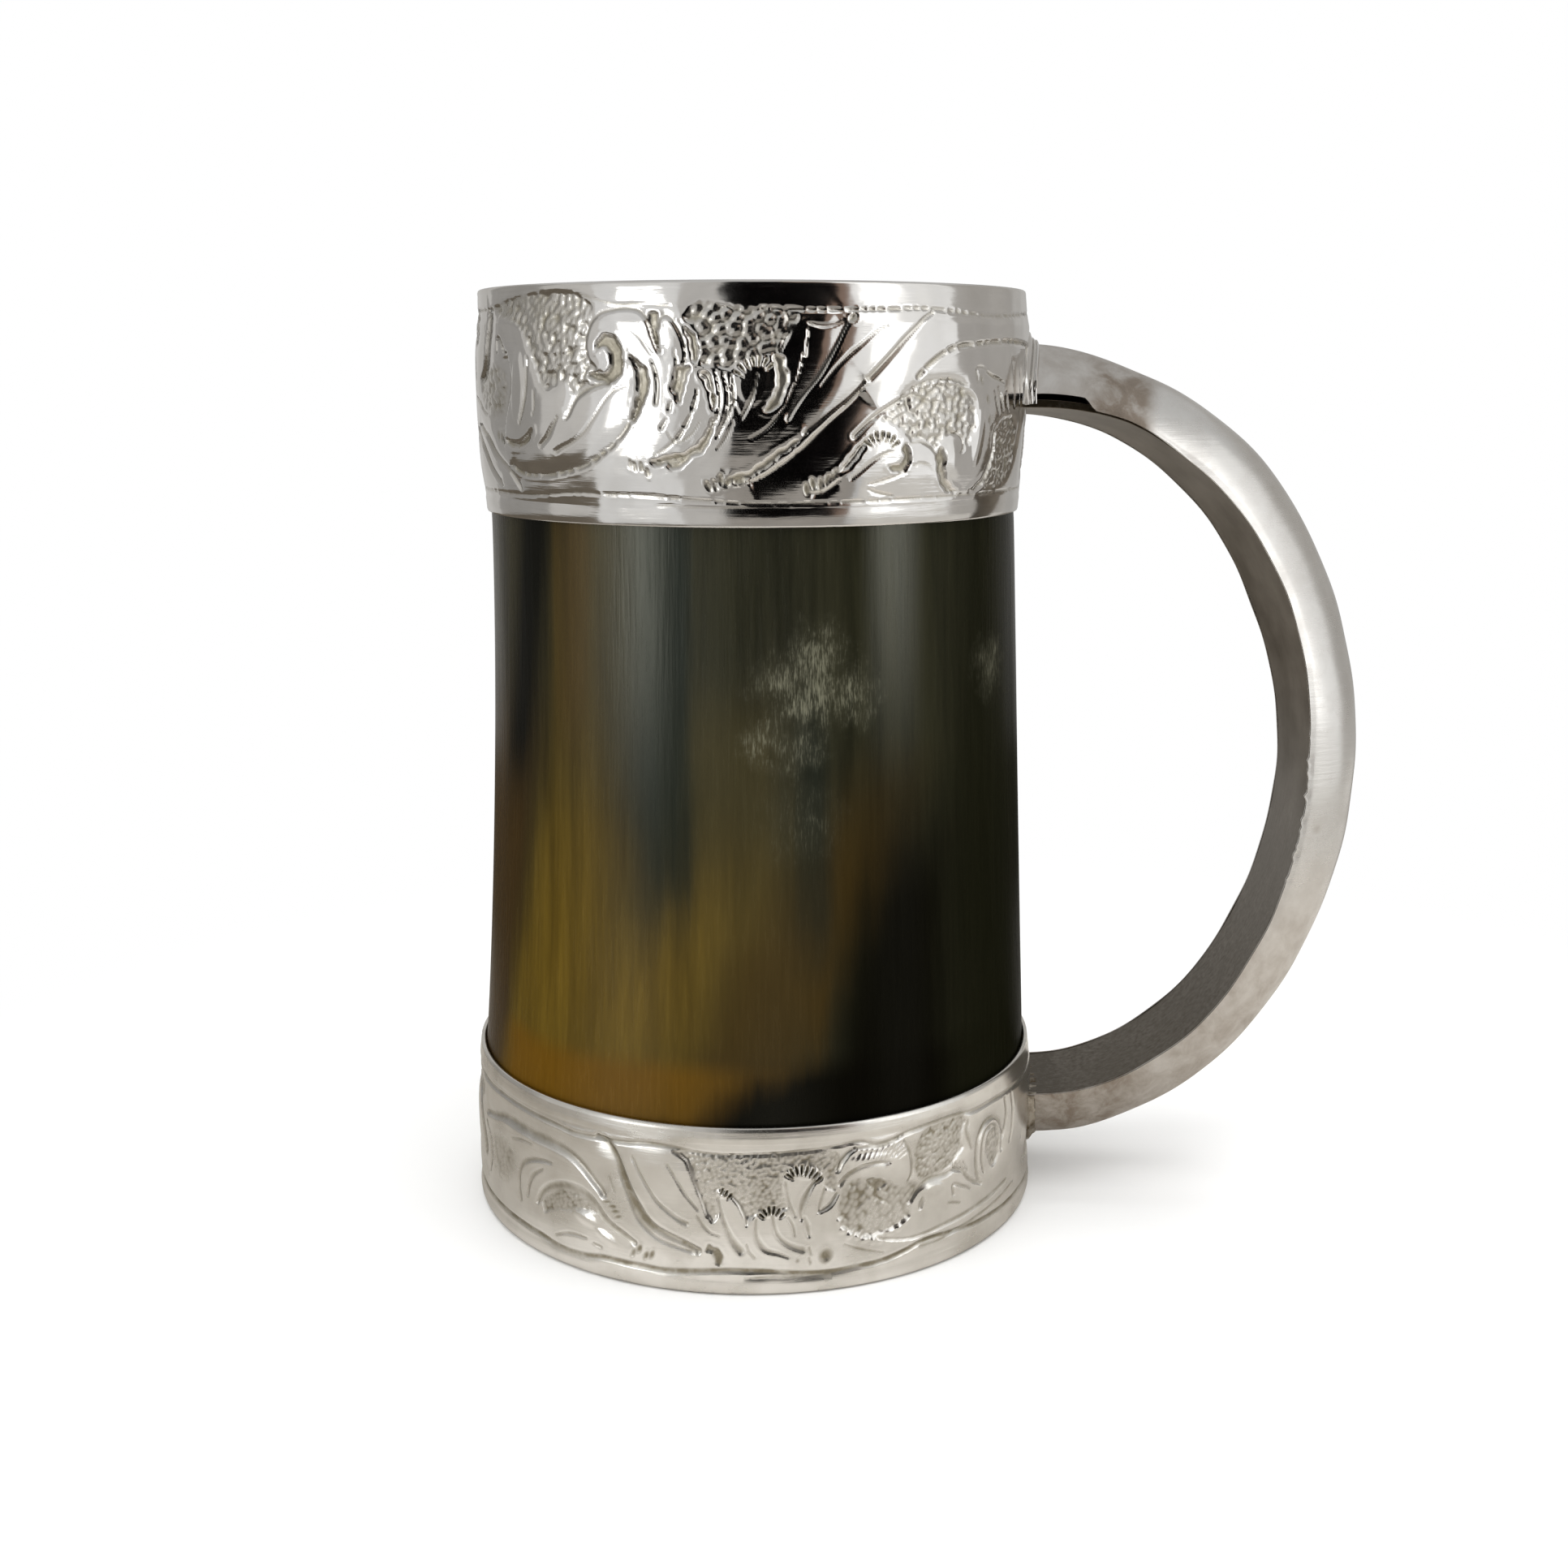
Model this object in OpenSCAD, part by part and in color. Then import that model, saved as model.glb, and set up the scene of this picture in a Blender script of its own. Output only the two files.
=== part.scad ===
// Horn drinking tankard with chased silver collars and a hollow bowed handle, in millimetres.
// It stands on the table at Z = 0 with its axis on Z, and the handle reaches out along X.

/* [Horn] */
// Height of the cup from the table to the rim
cup_h = 150; // [130:1:175]
// Outside radius of the horn where the lower collar grips it
horn_foot_r = 46.2; // [40:0.1:54]
// Outside radius of the horn where the upper collar grips it
horn_neck_r = 42.4; // [37:0.1:50]
// How far the side curves in from a straight taper
horn_waist = 0.5; // [0:0.1:1.5]
// Thickness of the horn wall
horn_wall = 3.6; // [2.5:0.1:5]

/* [Collars] */
// Thickness of the silver sheet
sheet_t = 0.7; // [0.5:0.1:1]
// Slack between the plain edge of a collar and the horn
collar_slack = 0.15; // [0.05:0.05:0.4]
// Height of the upper collar
upper_collar_h = 34; // [28:0.5:44]
// How far the upper chased field stands out from the plain edge below it
upper_field_rise = 1.05; // [0.6:0.05:2]
// How far the plain rim strip stands out from the plain lower edge
rim_rise = 0.25; // [0:0.05:0.5]
// Height of the plain strip at the rim
rim_strip_h = 3.8; // [2:0.1:6]
// Height of the lower collar
lower_collar_h = 27; // [22:0.5:36]
// How far the lower chased field stands out from the plain edge above it
lower_field_rise = 1.2; // [0.6:0.05:2]
// Height of the plain strip next to the horn on both collars
edge_strip_h = 3.2; // [2:0.1:5]
// Height over which the sheet climbs from a plain strip to the chased field
shoulder_h = 2; // [1:0.1:3]
// Height of the plain strip at the foot
foot_strip_h = 5.2; // [3:0.1:7]
// How far the top of the foot strip lies inside the chased field
foot_inset = 0.55; // [0.2:0.05:1]
// Rounding of the edge that the foot stands on
foot_round = 0.9; // [0.3:0.1:1]
// How far the bedding resin stops short of a collar's open edge
bedding_inset = 1; // [0.5:0.1:2]

/* [Mouth and bottom] */
// Depth of the lining inside the mouth
lining_h = 14; // [8:0.5:25]
// Slack between the lining and the horn
lining_slack = 0.1; // [0.05:0.05:0.3]
// Thickness of the base plate
base_t = 1.2; // [0.8:0.1:2]
// Slack between the base plate and the lower collar
base_slack = 0.05; // [0.02:0.01:0.2]
// Thickness of the plug that closes the horn
plug_t = 8; // [5:0.5:14]
// Slack between the plug and the horn
plug_slack = 0.1; // [0.05:0.05:0.3]
// Height and width of the resin bead round the plug
seal_leg = 1.6; // [1:0.1:3]

/* [Handle] */
// Width of the handle
handle_w = 20; // [16:0.5:26]
// Thickness of the handle, strip and shell together
handle_t = 10.3; // [8.5:0.1:12]
// Thickness of the sheet of the half-round shell
shell_t = 0.9; // [0.6:0.1:1.4]
// Thickness of the flat strip that closes the shell
strip_t = 1.2; // [0.8:0.1:1.6]
// Distance from the rim down to the strip at the upper root
handle_drop = 19.6; // [18:0.2:22]
// Height of the strip at the lower root above the table
handle_lift = 16.5; // [16:0.2:19]
// Reach of the strip from the upper chased field at the middle of the bow
handle_reach = 46.8; // [40:0.2:52]
// Radius of the two end bends as a share of the reach
bend_share = 0.91; // [0.7:0.01:0.95]

/* [Handle roots] */
// Width of the upper ferrule's wide step round the handle
ferrule_grow = 1.6; // [1:0.1:2.5]
// Depth of each of the upper ferrule's two steps
ferrule_step = 1.1; // [0.8:0.1:1.6]
// Width of the solder fillet round the lower root
fillet_grow = 1.1; // [0.6:0.1:1.8]
// Depth of the solder fillet at the lower root
fillet_depth = 1.4; // [0.8:0.1:2]

/* [Hidden] */
$fn = 160;
neck_z = cup_h - upper_collar_h;
neck_edge_r = horn_neck_r + collar_slack + sheet_t;
upper_field_r = neck_edge_r + upper_field_rise;
rim_r = neck_edge_r + rim_rise;
foot_edge_r = horn_foot_r + collar_slack + sheet_t;
lower_field_r = foot_edge_r + lower_field_rise;
foot_in_r = lower_field_r - foot_inset - sheet_t;
horn_top = cup_h - sheet_t;
curve_steps = 12;
bow_lap = 0.05;

handle_mid_z = (cup_h - handle_drop + handle_lift) / 2;
handle_half = (cup_h - handle_drop - handle_lift) / 2;
bend_r = bend_share * handle_reach;
bow_r = (pow(handle_reach, 2) + pow(handle_half, 2) - 2 * handle_half * bend_r)
        / (2 * (handle_reach - bend_r));
join_angle = atan2(handle_half - bend_r, bow_r - handle_reach);
root_half_w = handle_w / 2 + max(ferrule_grow, fillet_grow);
root_x = sqrt(pow(min(upper_field_r, lower_field_r), 2) - pow(root_half_w, 2)) - 1;
root_angle = asin((upper_field_r - root_x) / bend_r);
lap_angle = asin(1 / bend_r);
shell_h = handle_t - strip_t;
shell_r = (pow(handle_w / 2, 2) + pow(shell_h, 2)) / (2 * shell_h);

// Outside radius of the horn at a height: two straight seats and the curved side between them
function side(z) = min(1, max(0, (z - lower_collar_h) / (neck_z - lower_collar_h)));
function horn_r(z) = horn_foot_r + (horn_neck_r - horn_foot_r) * side(z)
                     - 4 * horn_waist * side(z) * (1 - side(z));

// Heights of the outline's points along the curved side
function side_z(i) = lower_collar_h + (neck_z - lower_collar_h) * i / curve_steps;

// Outline of a surface of the upper collar, from its lower edge to the rim, set in by a distance
function upper_line(inset) = [
    [neck_edge_r - inset, neck_z],
    [neck_edge_r - inset, neck_z + edge_strip_h],
    [upper_field_r - inset, neck_z + edge_strip_h + shoulder_h],
    [upper_field_r - inset, cup_h - rim_strip_h - shoulder_h],
    [rim_r - inset, cup_h - rim_strip_h],
    [rim_r - inset, cup_h]
];

// Outline of a surface of the lower collar, from its upper edge to the top of the foot strip
function lower_line(inset) = [
    [foot_edge_r - inset, lower_collar_h],
    [foot_edge_r - inset, lower_collar_h - edge_strip_h],
    [lower_field_r - inset, lower_collar_h - edge_strip_h - shoulder_h],
    [lower_field_r - inset, foot_strip_h + shoulder_h],
    [lower_field_r - foot_inset - inset, foot_strip_h]
];

function reversed(list) = [for (i = [len(list) - 1 : -1 : 0]) list[i]];

// Section of the handle at right angles to its run: the strip's face lies on Y = 0, the round side up
module shell_outline(grow = 0, base = 0) {
    intersection() {
        translate([0, handle_t - shell_r])
            circle(r = shell_r + grow);
        translate([-handle_w, base])
            square([2 * handle_w, 2 * handle_t]);
    }
}

module strip_section(inset = 0) {
    translate([-handle_w / 2 + inset, inset])
        square([handle_w - 2 * inset, strip_t - 2 * inset]);
}

module shell_section(grow = 0) {
    difference() {
        shell_outline(grow, strip_t - grow);
        shell_outline(-shell_t - grow, 0);
    }
}

module handle_section(lap = 0) {
    shell_outline(lap, strip_t - lap);
    strip_section(lap);
}

// One bend of the bow: a section carried round a centre in the XZ plane
module bend(centre_x, centre_z, radius, from, to) {
    translate([centre_x, 0, centre_z])
        rotate([90, 0, 0])
            rotate_extrude(start = from, angle = to - from)
                translate([radius, 0])
                    rotate(-90)
                        children();
}

// The whole bow, running a little way into both collars. The first section makes the end bends,
// which lap the middle bend, and the second makes the middle bend.
module along_bow() {
    end_rise = handle_half - bend_r;
    bend(upper_field_r, handle_mid_z + end_rise, bend_r, join_angle - lap_angle, 90 + root_angle)
        children(0);
    bend(upper_field_r + handle_reach - bow_r, handle_mid_z, bow_r, -join_angle, join_angle)
        children(1);
    bend(upper_field_r, handle_mid_z - end_rise, bend_r, -90 - root_angle, lap_angle - join_angle)
        children(0);
}

// The solid room that the whole handle takes up
module handle_room() {
    along_bow() {
        handle_section();
        handle_section(bow_lap);
    }
}

// A ring round the handle that stands out from a collar as far as a given radius
module root_ring(grow, reach, from_z, to_z) {
    intersection() {
        along_bow() {
            shell_outline(grow, -grow);
            shell_outline(grow + bow_lap, -grow - bow_lap);
        }
        translate([0, 0, from_z])
            cylinder(r = reach, h = to_z - from_z);
    }
}

module upper_envelope() {
    translate([0, 0, neck_z])
        cylinder(r = upper_field_r, h = upper_collar_h);
}

module lower_envelope() {
    rotate_extrude()
        polygon(concat([[0, 0]], [[0, lower_collar_h]], lower_line(0), [[foot_in_r, 0]]));
}

module horn_body() {
    heights = concat([base_t], [for (i = [0 : curve_steps]) side_z(i)], [horn_top]);
    color("#3b3a2c")
        rotate_extrude()
            polygon(concat([for (z = heights) [horn_r(z), z]],
                           [for (z = reversed(heights)) [horn_r(z) - horn_wall, z]]));
}

module bottom_plug() {
    color("#6b5a3c")
        translate([0, 0, base_t])
            cylinder(r = horn_foot_r - horn_wall - plug_slack, h = plug_t);
}

module plug_seal() {
    wall_r = horn_foot_r - horn_wall;
    floor_z = base_t + plug_t;
    color("#8a6a34")
        rotate_extrude()
            polygon([[wall_r, floor_z], [wall_r, floor_z + seal_leg], [wall_r - seal_leg, floor_z]]);
}

module base_plate() {
    color("#c8c6c0")
        cylinder(r = foot_in_r - base_slack, h = base_t);
}

module lower_bedding() {
    top = lower_collar_h - bedding_inset;
    inner = lower_line(sheet_t);
    color("#4a3d2a")
        rotate_extrude()
            polygon(concat([[horn_foot_r, base_t], [horn_foot_r, top], [inner[0][0], top]],
                           [for (i = [1 : len(inner) - 1]) inner[i]],
                           [[foot_in_r, base_t]]));
}

module lower_collar() {
    foot_r = lower_field_r - foot_inset / 3;
    color("#d2cfc8")
        rotate_extrude()
            difference() {
                polygon(concat(lower_line(0),
                               [[foot_r, foot_round], [foot_r, 0], [foot_in_r, 0]],
                               reversed(lower_line(sheet_t))));
                translate([foot_r - foot_round, foot_round])
                    difference() {
                        translate([0, -2 * foot_round])
                            square(2 * foot_round);
                        circle(r = foot_round);
                    }
            }
}

module upper_bedding() {
    inner = upper_line(sheet_t);
    bottom = neck_z + bedding_inset;
    color("#4a3d2a")
        rotate_extrude()
            polygon(concat([[horn_neck_r, horn_top], [horn_neck_r, bottom], [inner[0][0], bottom]],
                           [for (i = [1 : len(inner) - 2]) inner[i]],
                           [[rim_r - sheet_t, horn_top]]));
}

module upper_collar() {
    color("#d2cfc8")
        rotate_extrude()
            polygon(concat(upper_line(0), reversed(upper_line(sheet_t))));
}

// Sleeve inside the mouth with a lip that turns out over the horn's end to meet the collar
module lip_lining() {
    sleeve_r = horn_neck_r - horn_wall - lining_slack;
    color("#d8d5ce")
        rotate_extrude() {
            translate([sleeve_r - sheet_t, cup_h - lining_h])
                square([sheet_t, lining_h]);
            translate([sleeve_r - sheet_t, horn_top])
                square([rim_r - sleeve_r, sheet_t]);
        }
}

module handle_shell() {
    color("#d6d4cf")
        difference() {
            along_bow() {
                shell_section();
                shell_section(bow_lap);
            }
            upper_envelope();
            lower_envelope();
        }
}

module handle_strip() {
    color("#8d8880")
        difference() {
            along_bow() {
                strip_section();
                strip_section(bow_lap);
            }
            upper_envelope();
            lower_envelope();
        }
}

// Two-step ferrule between the upper end of the handle and the collar
module upper_ferrule() {
    color("#c4c1ba")
        difference() {
            union() {
                root_ring(ferrule_grow, upper_field_r + ferrule_step, handle_mid_z, cup_h);
                root_ring(ferrule_grow / 2, upper_field_r + 2 * ferrule_step, handle_mid_z, cup_h);
            }
            handle_room();
            upper_envelope();
        }
}

// Solder run round the lower end of the handle
module lower_fillet() {
    color("#a49c8e")
        difference() {
            root_ring(fillet_grow, lower_field_r + fillet_depth, 0, handle_mid_z);
            handle_room();
            lower_envelope();
        }
}

horn_body();
bottom_plug();
plug_seal();
base_plate();
lower_bedding();
lower_collar();
upper_bedding();
upper_collar();
lip_lining();
handle_shell();
handle_strip();
upper_ferrule();
lower_fillet();
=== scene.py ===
import math

import bpy
import numpy as np
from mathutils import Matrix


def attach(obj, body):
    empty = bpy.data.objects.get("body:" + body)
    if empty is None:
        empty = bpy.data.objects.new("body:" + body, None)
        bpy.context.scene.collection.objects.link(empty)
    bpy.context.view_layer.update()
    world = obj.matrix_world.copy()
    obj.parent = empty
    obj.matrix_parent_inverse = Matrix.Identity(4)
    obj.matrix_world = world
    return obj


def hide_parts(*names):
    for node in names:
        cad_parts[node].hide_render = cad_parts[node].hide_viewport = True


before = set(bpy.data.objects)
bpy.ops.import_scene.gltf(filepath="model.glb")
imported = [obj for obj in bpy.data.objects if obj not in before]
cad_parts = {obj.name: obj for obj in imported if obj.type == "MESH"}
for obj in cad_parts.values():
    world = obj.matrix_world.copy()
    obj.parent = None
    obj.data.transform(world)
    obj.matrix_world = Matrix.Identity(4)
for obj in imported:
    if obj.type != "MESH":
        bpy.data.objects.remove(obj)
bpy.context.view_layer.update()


# ---- Horn body
# A length of ox horn that makes the wall of the cup, sawn off square at both ends. It is boiled soft,
# pressed round on a form, scraped lengthwise and polished, so it narrows to a slight waist.
MM = 0.001
HORN_FOOT_R, HORN_NECK_R, HORN_WALL = 46.2, 42.4, 3.6
HORN_FOOT_Z, HORN_NECK_Z = 27.0, 116.0


def linear(code):
    # A colour written as sRGB hex, in the linear values that shaders take
    channels = [int(code[i:i + 2], 16) / 255 for i in (1, 3, 5)]
    return tuple(c / 12.92 if c < 0.04045 else ((c + 0.055) / 1.055) ** 2.4 for c in channels) + (1.0,)


def node(tree, kind, inputs=None, **settings):
    # Adds a node, sets or links its sockets (by name, or by number where names are long or stand twice) and
    # gives back its outputs
    made = tree.nodes.new("ShaderNode" + kind)
    for name, value in settings.items():
        setattr(made, name, value)
    for socket, value in (inputs or {}).items():
        if isinstance(value, bpy.types.NodeSocket):
            tree.links.new(value, made.inputs[socket])
        else:
            made.inputs[socket].default_value = value
    return made.outputs


def calc(tree, operation, *values, clamp=False):
    # A sum on shader values, under Blender's name for it
    return node(tree, "Math", dict(enumerate(values)), operation=operation, use_clamp=clamp)[0]


def noise(tree, where, size, detail, roughness=0.5, distortion=0.0):
    # Clouds of a size in metres, with values round a half
    return node(tree, "TexNoise", {"Vector": where, "Scale": 1 / size, "Detail": detail, "Roughness": roughness,
                                   "Distortion": distortion})["Fac"]


def remap(tree, value, start, stop, low=0.0, high=1.0, soft=False):
    # Low where the value is at start, high where it is at stop, and held beyond both; soft eases it in and out
    return node(tree, "MapRange", {0: value, 1: start, 2: stop, 3: low, 4: high},
                interpolation_type="SMOOTHSTEP" if soft else "LINEAR")[0]


def blend(tree, share, colour, other):
    # A share of the other colour laid over the first
    return node(tree, "Mix", {0: share, 6: colour, 7: other}, data_type="RGBA")[2]


def start_finish(name, **sockets):
    # A new material, with the sockets set that are the same all over the surface
    made = bpy.data.materials.new(name)
    made.use_nodes = True
    shader = made.node_tree.nodes["Principled BSDF"]
    for socket, value in sockets.items():
        shader.inputs[socket.replace("_", " ")].default_value = value
    return made, made.node_tree, shader


def dress(tree, shader, colour, rough, relief, strength, depth):
    # Gives a material what varies over its surface: colour, roughness and a fine relief
    bump = node(tree, "Bump", {"Height": relief, "Strength": strength, "Distance": depth})["Normal"]
    for socket, value in (("Base Color", colour), ("Roughness", rough), ("Normal", bump)):
        tree.links.new(value, shader.inputs[socket])


def new_loop(name, count):
    # A closed loop of points, from which a turned or bowed piece starts
    bpy.ops.object.select_all(action="DESELECT")
    bpy.ops.mesh.primitive_circle_add(vertices=count, radius=0.01)
    piece = bpy.context.object
    piece.name = piece.data.name = name
    return piece


def turned(name, outline, steps):
    # A closed outline of radius and height, turned round the cup's axis
    piece = new_loop(name, len(outline))
    for vertex, (r, z) in zip(piece.data.vertices, outline):
        vertex.co = (0, -r * MM, z * MM)
    bpy.ops.object.modifier_add(type="SCREW")
    screw = piece.modifiers["Screw"]
    screw.axis, screw.angle, screw.steps, screw.render_steps = "Z", math.tau, steps, steps
    screw.use_merge_vertices, screw.merge_threshold = True, 0.00002
    bpy.ops.object.modifier_apply(modifier="Screw")
    bpy.ops.object.mode_set(mode="EDIT")
    bpy.ops.mesh.select_all(action="SELECT")
    bpy.ops.mesh.normals_make_consistent(inside=False)
    bpy.ops.object.mode_set(mode="OBJECT")
    return piece


def read_points(piece):
    # The points of a mesh in millimetres; set_points puts them back
    flat = np.empty(len(piece.data.vertices) * 3)
    piece.data.vertices.foreach_get("co", flat)
    return flat.reshape(-1, 3) / MM


def set_points(piece, points):
    piece.data.vertices.foreach_set("co", (points * MM).ravel())
    piece.data.update()


def around(points):
    # Bearing round the axis (0 in front, right positive) and distance from the axis
    return np.arctan2(points[:, 0], -points[:, 1]), np.hypot(points[:, 0], points[:, 1])


def finish_piece(piece, node_name, material, angle=40):
    # Smooths a piece up to an edge angle, gives it its material and sets it in place of its solid
    bpy.ops.object.select_all(action="DESELECT")
    piece.select_set(True)
    bpy.context.view_layer.objects.active = piece
    bpy.ops.object.shade_smooth_by_angle(angle=math.radians(angle))
    piece.data.materials.clear()
    piece.data.materials.append(material)
    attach(piece, "root")
    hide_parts(node_name)


heights = np.linspace(2.0, 148.6, 100)
share = np.clip((heights - HORN_FOOT_Z) / (HORN_NECK_Z - HORN_FOOT_Z), 0, 1)
outer = HORN_FOOT_R - (HORN_FOOT_R - HORN_NECK_R) * share - 2 * share * (1 - share)
outline = [(outer[0] - 0.7, 1.3)] + list(zip(outer, heights)) + [(outer[-1] - 0.6, 149.2)]
outline += [(outer[-1] - HORN_WALL + 0.5, 149.2)]
outline += list(zip(outer[::-3] - HORN_WALL, heights[::-3])) + [(outer[0] - HORN_WALL + 0.5, 1.3)]
horn = turned("horn_wall", outline, 240)

# The scraper leaves shallow lengthwise flats, and the horn bows a little towards the handle.
points = read_points(horn)
turn, radius = around(points)
waist = np.sin(np.pi * np.clip((points[:, 2] - HORN_FOOT_Z) / (HORN_NECK_Z - HORN_FOOT_Z), 0, 1))
flats = 0.05 * np.sin(9 * turn + 1.0) + 0.04 * np.sin(17 * turn + 0.02 * points[:, 2]) \
    + 0.03 * np.sin(31 * turn + 2.0 + 0.03 * points[:, 2])
points[:, :2] *= (1 + waist * flats / radius)[:, None]
points[:, 0] += 0.45 * waist ** 0.6
set_points(horn, points)

# Polished ox horn: smoky black-green with honey and olive bands that run lengthwise, and a soft gloss
# with fine lengthwise scrape marks that draws lights out into upright streaks.
horn_finish, tree, shader = start_finish("polished_ox_horn", IOR=1.54, Specular_Tint=linear("#f5f6e4"))
where = node(tree, "TexCoord")["Object"]
along = node(tree, "Mapping", {"Vector": where, "Scale": (1.0, 1.0, 0.05)})["Vector"]
bands = noise(tree, along, 0.014, 3.0, 0.55)
streaks = noise(tree, along, 0.0035, 4.0, 0.65)
fibres = noise(tree, along, 0.0007, 3.0, 0.6)
clouds = noise(tree, where, 0.022, 3.0)
place = node(tree, "SeparateXYZ", {"Vector": where})
# Bearing round the horn in degrees (0 = front, left negative) and level in millimetres, and both again with
# soft, uneven borders
DEGREES = 57.3   # in one radian
front = calc(tree, "MULTIPLY", place["Y"], -1.0)
bearing = calc(tree, "ARCTAN2", place["X"], front)
bearing = calc(tree, "MULTIPLY", bearing, DEGREES)
level = calc(tree, "MULTIPLY", place["Z"], 1000.0)
waver = calc(tree, "MULTIPLY_ADD", streaks, 0.3, bands)
waver = calc(tree, "ADD", waver, -0.65)
drift = calc(tree, "ADD", clouds, -0.5)
round_horn = calc(tree, "MULTIPLY_ADD", waver, 14.0, bearing)
height = calc(tree, "MULTIPLY_ADD", waver, -7.0, level)
height = calc(tree, "MULTIPLY_ADD", drift, 14.0, height)
slant = calc(tree, "MULTIPLY_ADD", height, -0.68, round_horn)
lean = calc(tree, "MULTIPLY_ADD", level, -0.24, round_horn)
steep = calc(tree, "MULTIPLY_ADD", height, -0.31, round_horn)
shallow = calc(tree, "MULTIPLY_ADD", height, -1.45, round_horn)
middle = calc(tree, "ADD", bearing, 8.0)
middle = calc(tree, "ABSOLUTE", middle)
away = calc(tree, "ABSOLUTE", bearing)
behind = calc(tree, "MULTIPLY_ADD", waver, 30.0, away)
across = calc(tree, "MULTIPLY_ADD", place["X"], 420.0, height)
foot = calc(tree, "MULTIPLY_ADD", clouds, 5.0, level)
streaky = remap(tree, streaks, 0.3, 0.72, soft=True)
smoky = blend(tree, streaky, linear("#1b1b12"), linear("#28271b"))
olive = blend(tree, streaky, linear("#4c3c13"), linear("#5e4b18"))
honey = blend(tree, clouds, linear("#4e370b"), linear("#62450f"))
# Each tone lies between soft limits: what is measured, where the tone is weak and strong, and how weak and how
# strong. In front: smoky olive in the middle, brown down the left edge, olive over a slanting border at the lower
# left and in a band up the left, brown along that border and high at the left, two bluish black bands, honey below
# a nearly level line, black high at the left and at the lower right, dark green on the right side. Round the back:
# olive low down, honey at the foot, black below the mouth. Then the polish, which is best in two upright streaks on
# the upper front and at the back, and rubbed off lower down and at the sides.
colour, polish = smoky, 0.0
for tone, limits in (
        (linear("#3a341f"), ((round_horn, -20, -10, 0, 1), (round_horn, 14, 4, 0, 1), (height, 100, 80, 0, 0.8),
                             (height, 38, 54, 0, 1))),
        (linear("#342713"), ((lean, -62, -76, 0, 1), (level, 100, 66, 0.15, 1), (bearing, -165, -110, 0, 1))),
        (olive, ((slant, -14, -54, 0, 1), (height, 80, 40, 0, 1), (lean, -75, -62, 0, 1))),
        (olive, ((round_horn, -57, -42, 0, 1), (round_horn, -21, -36, 0, 1), (height, 96, 52, 0.25, 0.85),
                 (lean, -75, -62, 0, 1))),
        (linear("#392b11"), ((slant, -42, -27, 0, 1), (slant, -6, -22, 0, 1), (height, 86, 60, 0, 0.75))),
        (linear("#3f3014"), ((round_horn, -46, -39, 0, 1), (round_horn, -30, -36, 0, 1), (height, 76, 92, 0, 0.65))),
        (linear("#141b18"), ((round_horn, -26, -18, 0, 1), (round_horn, -8, -16, 0, 1), (height, 49, 66, 0, 0.75))),
        (linear("#1a1e19"), ((round_horn, 4, 11, 0, 1), (round_horn, 20, 13, 0, 1), (height, 47, 60, 0, 0.65),
                             (height, 98, 82, 0, 1))),
        (honey, ((foot, 40.5, 36, 0, 1), (slant, -8, -44, 0, 1), (lean, -75, -62, 0, 1))),
        (linear("#0a0a07"), ((lean, -88, -80, 0, 1), (lean, -67, -76, 0, 1), (height, 66, 88, 0, 0.95))),
        (linear("#090805"), ((steep, -4, 13, 0, 1), (height, 84, 58, 0, 0.95), (bearing, 34, 46, 1, 0.55),
                             (bearing, 160, 95, 0, 1))),
        (linear("#090805"), ((shallow, -56, -40, 0, 1), (level, 39, 33, 0, 1), (bearing, 36, 46, 1, 0.5),
                             (bearing, 160, 95, 0, 1))),
        (linear("#121209"), ((bearing, 36, 52, 0, 0.75), (bearing, 130, 95, 0, 1))),
        (olive, ((behind, 112, 150, 0, 0.8), (across, 98, 44, 0, 1))),
        (honey, ((behind, 104, 138, 0, 1), (foot, 48, 37, 0, 0.8), (across, 58, 34, 0, 1))),
        (linear("#0d0d09"), ((behind, 96, 128, 0, 1), (across, 82, 112, 0, 0.85))),
        (None, ((level, 66, 102, 0.15, 0.54), (bearing, -2, 20, 1, 0), (bearing, -27, -44, 1, 0.07),
                (middle, 15, 5, 1, 0.42))),
        (None, ((level, 74, 114, 0.02, 0.62), (bearing, 21, 29, 0, 1), (bearing, 31, 38, 1, 0.03))),
        (None, ((away, 84, 120, 0, 0.36),))):
    share = 1.0
    for value, start, stop, weak, strong in limits:
        limit = remap(tree, value, start, stop, weak, strong, soft=True)
        share = calc(tree, "MULTIPLY", share, limit)
    if tone is None:
        polish = calc(tree, "ADD", polish, share)
    else:
        colour = blend(tree, share, colour, tone)
tree.links.new(polish, shader.inputs["Specular IOR Level"])
# Pale scuffs where the cup has been rubbed: upright scratches, thick in the middle of a patch and few at its
# border. They are hair-fine, and drawn a quarter of a millimetre wide so that they show.
scuffs = 0.0
broken = noise(tree, where, 0.0035, 4.0, 0.65)
ragged = calc(tree, "MULTIPLY_ADD", broken, 0.01, -0.005)
for x, y, z, size, most in (
        (9.6, -41.3, 97, 7, 0.5), (9.4, -41.3, 92, 7.5, 0.54), (5.6, -41.9, 94, 7, 0.42), (14, -40, 91.5, 7, 0.42),
        (2, -42, 85, 5, 0.36), (7, -41.7, 85, 6.5, 0.34), (7.5, -42, 73, 9, 0.16), (36, -22, 93, 7, 0.3)):
    far = node(tree, "VectorMath", {0: where, 1: (x * MM, y * MM, z * MM)}, operation="DISTANCE")["Value"]
    far = calc(tree, "ADD", far, ragged)
    patch = remap(tree, far, size * MM, 0.0, high=most, soft=True)
    scuffs = calc(tree, "MAXIMUM", scuffs, patch)
scratch = node(tree, "Mapping", {"Vector": where, "Scale": (1.0, 1.0, 0.13)})["Vector"]
scratch = noise(tree, scratch, 0.00025, 2.0, 0.7)
rubbed = remap(tree, scuffs, 0.0, 0.4, high=0.44)
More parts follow.
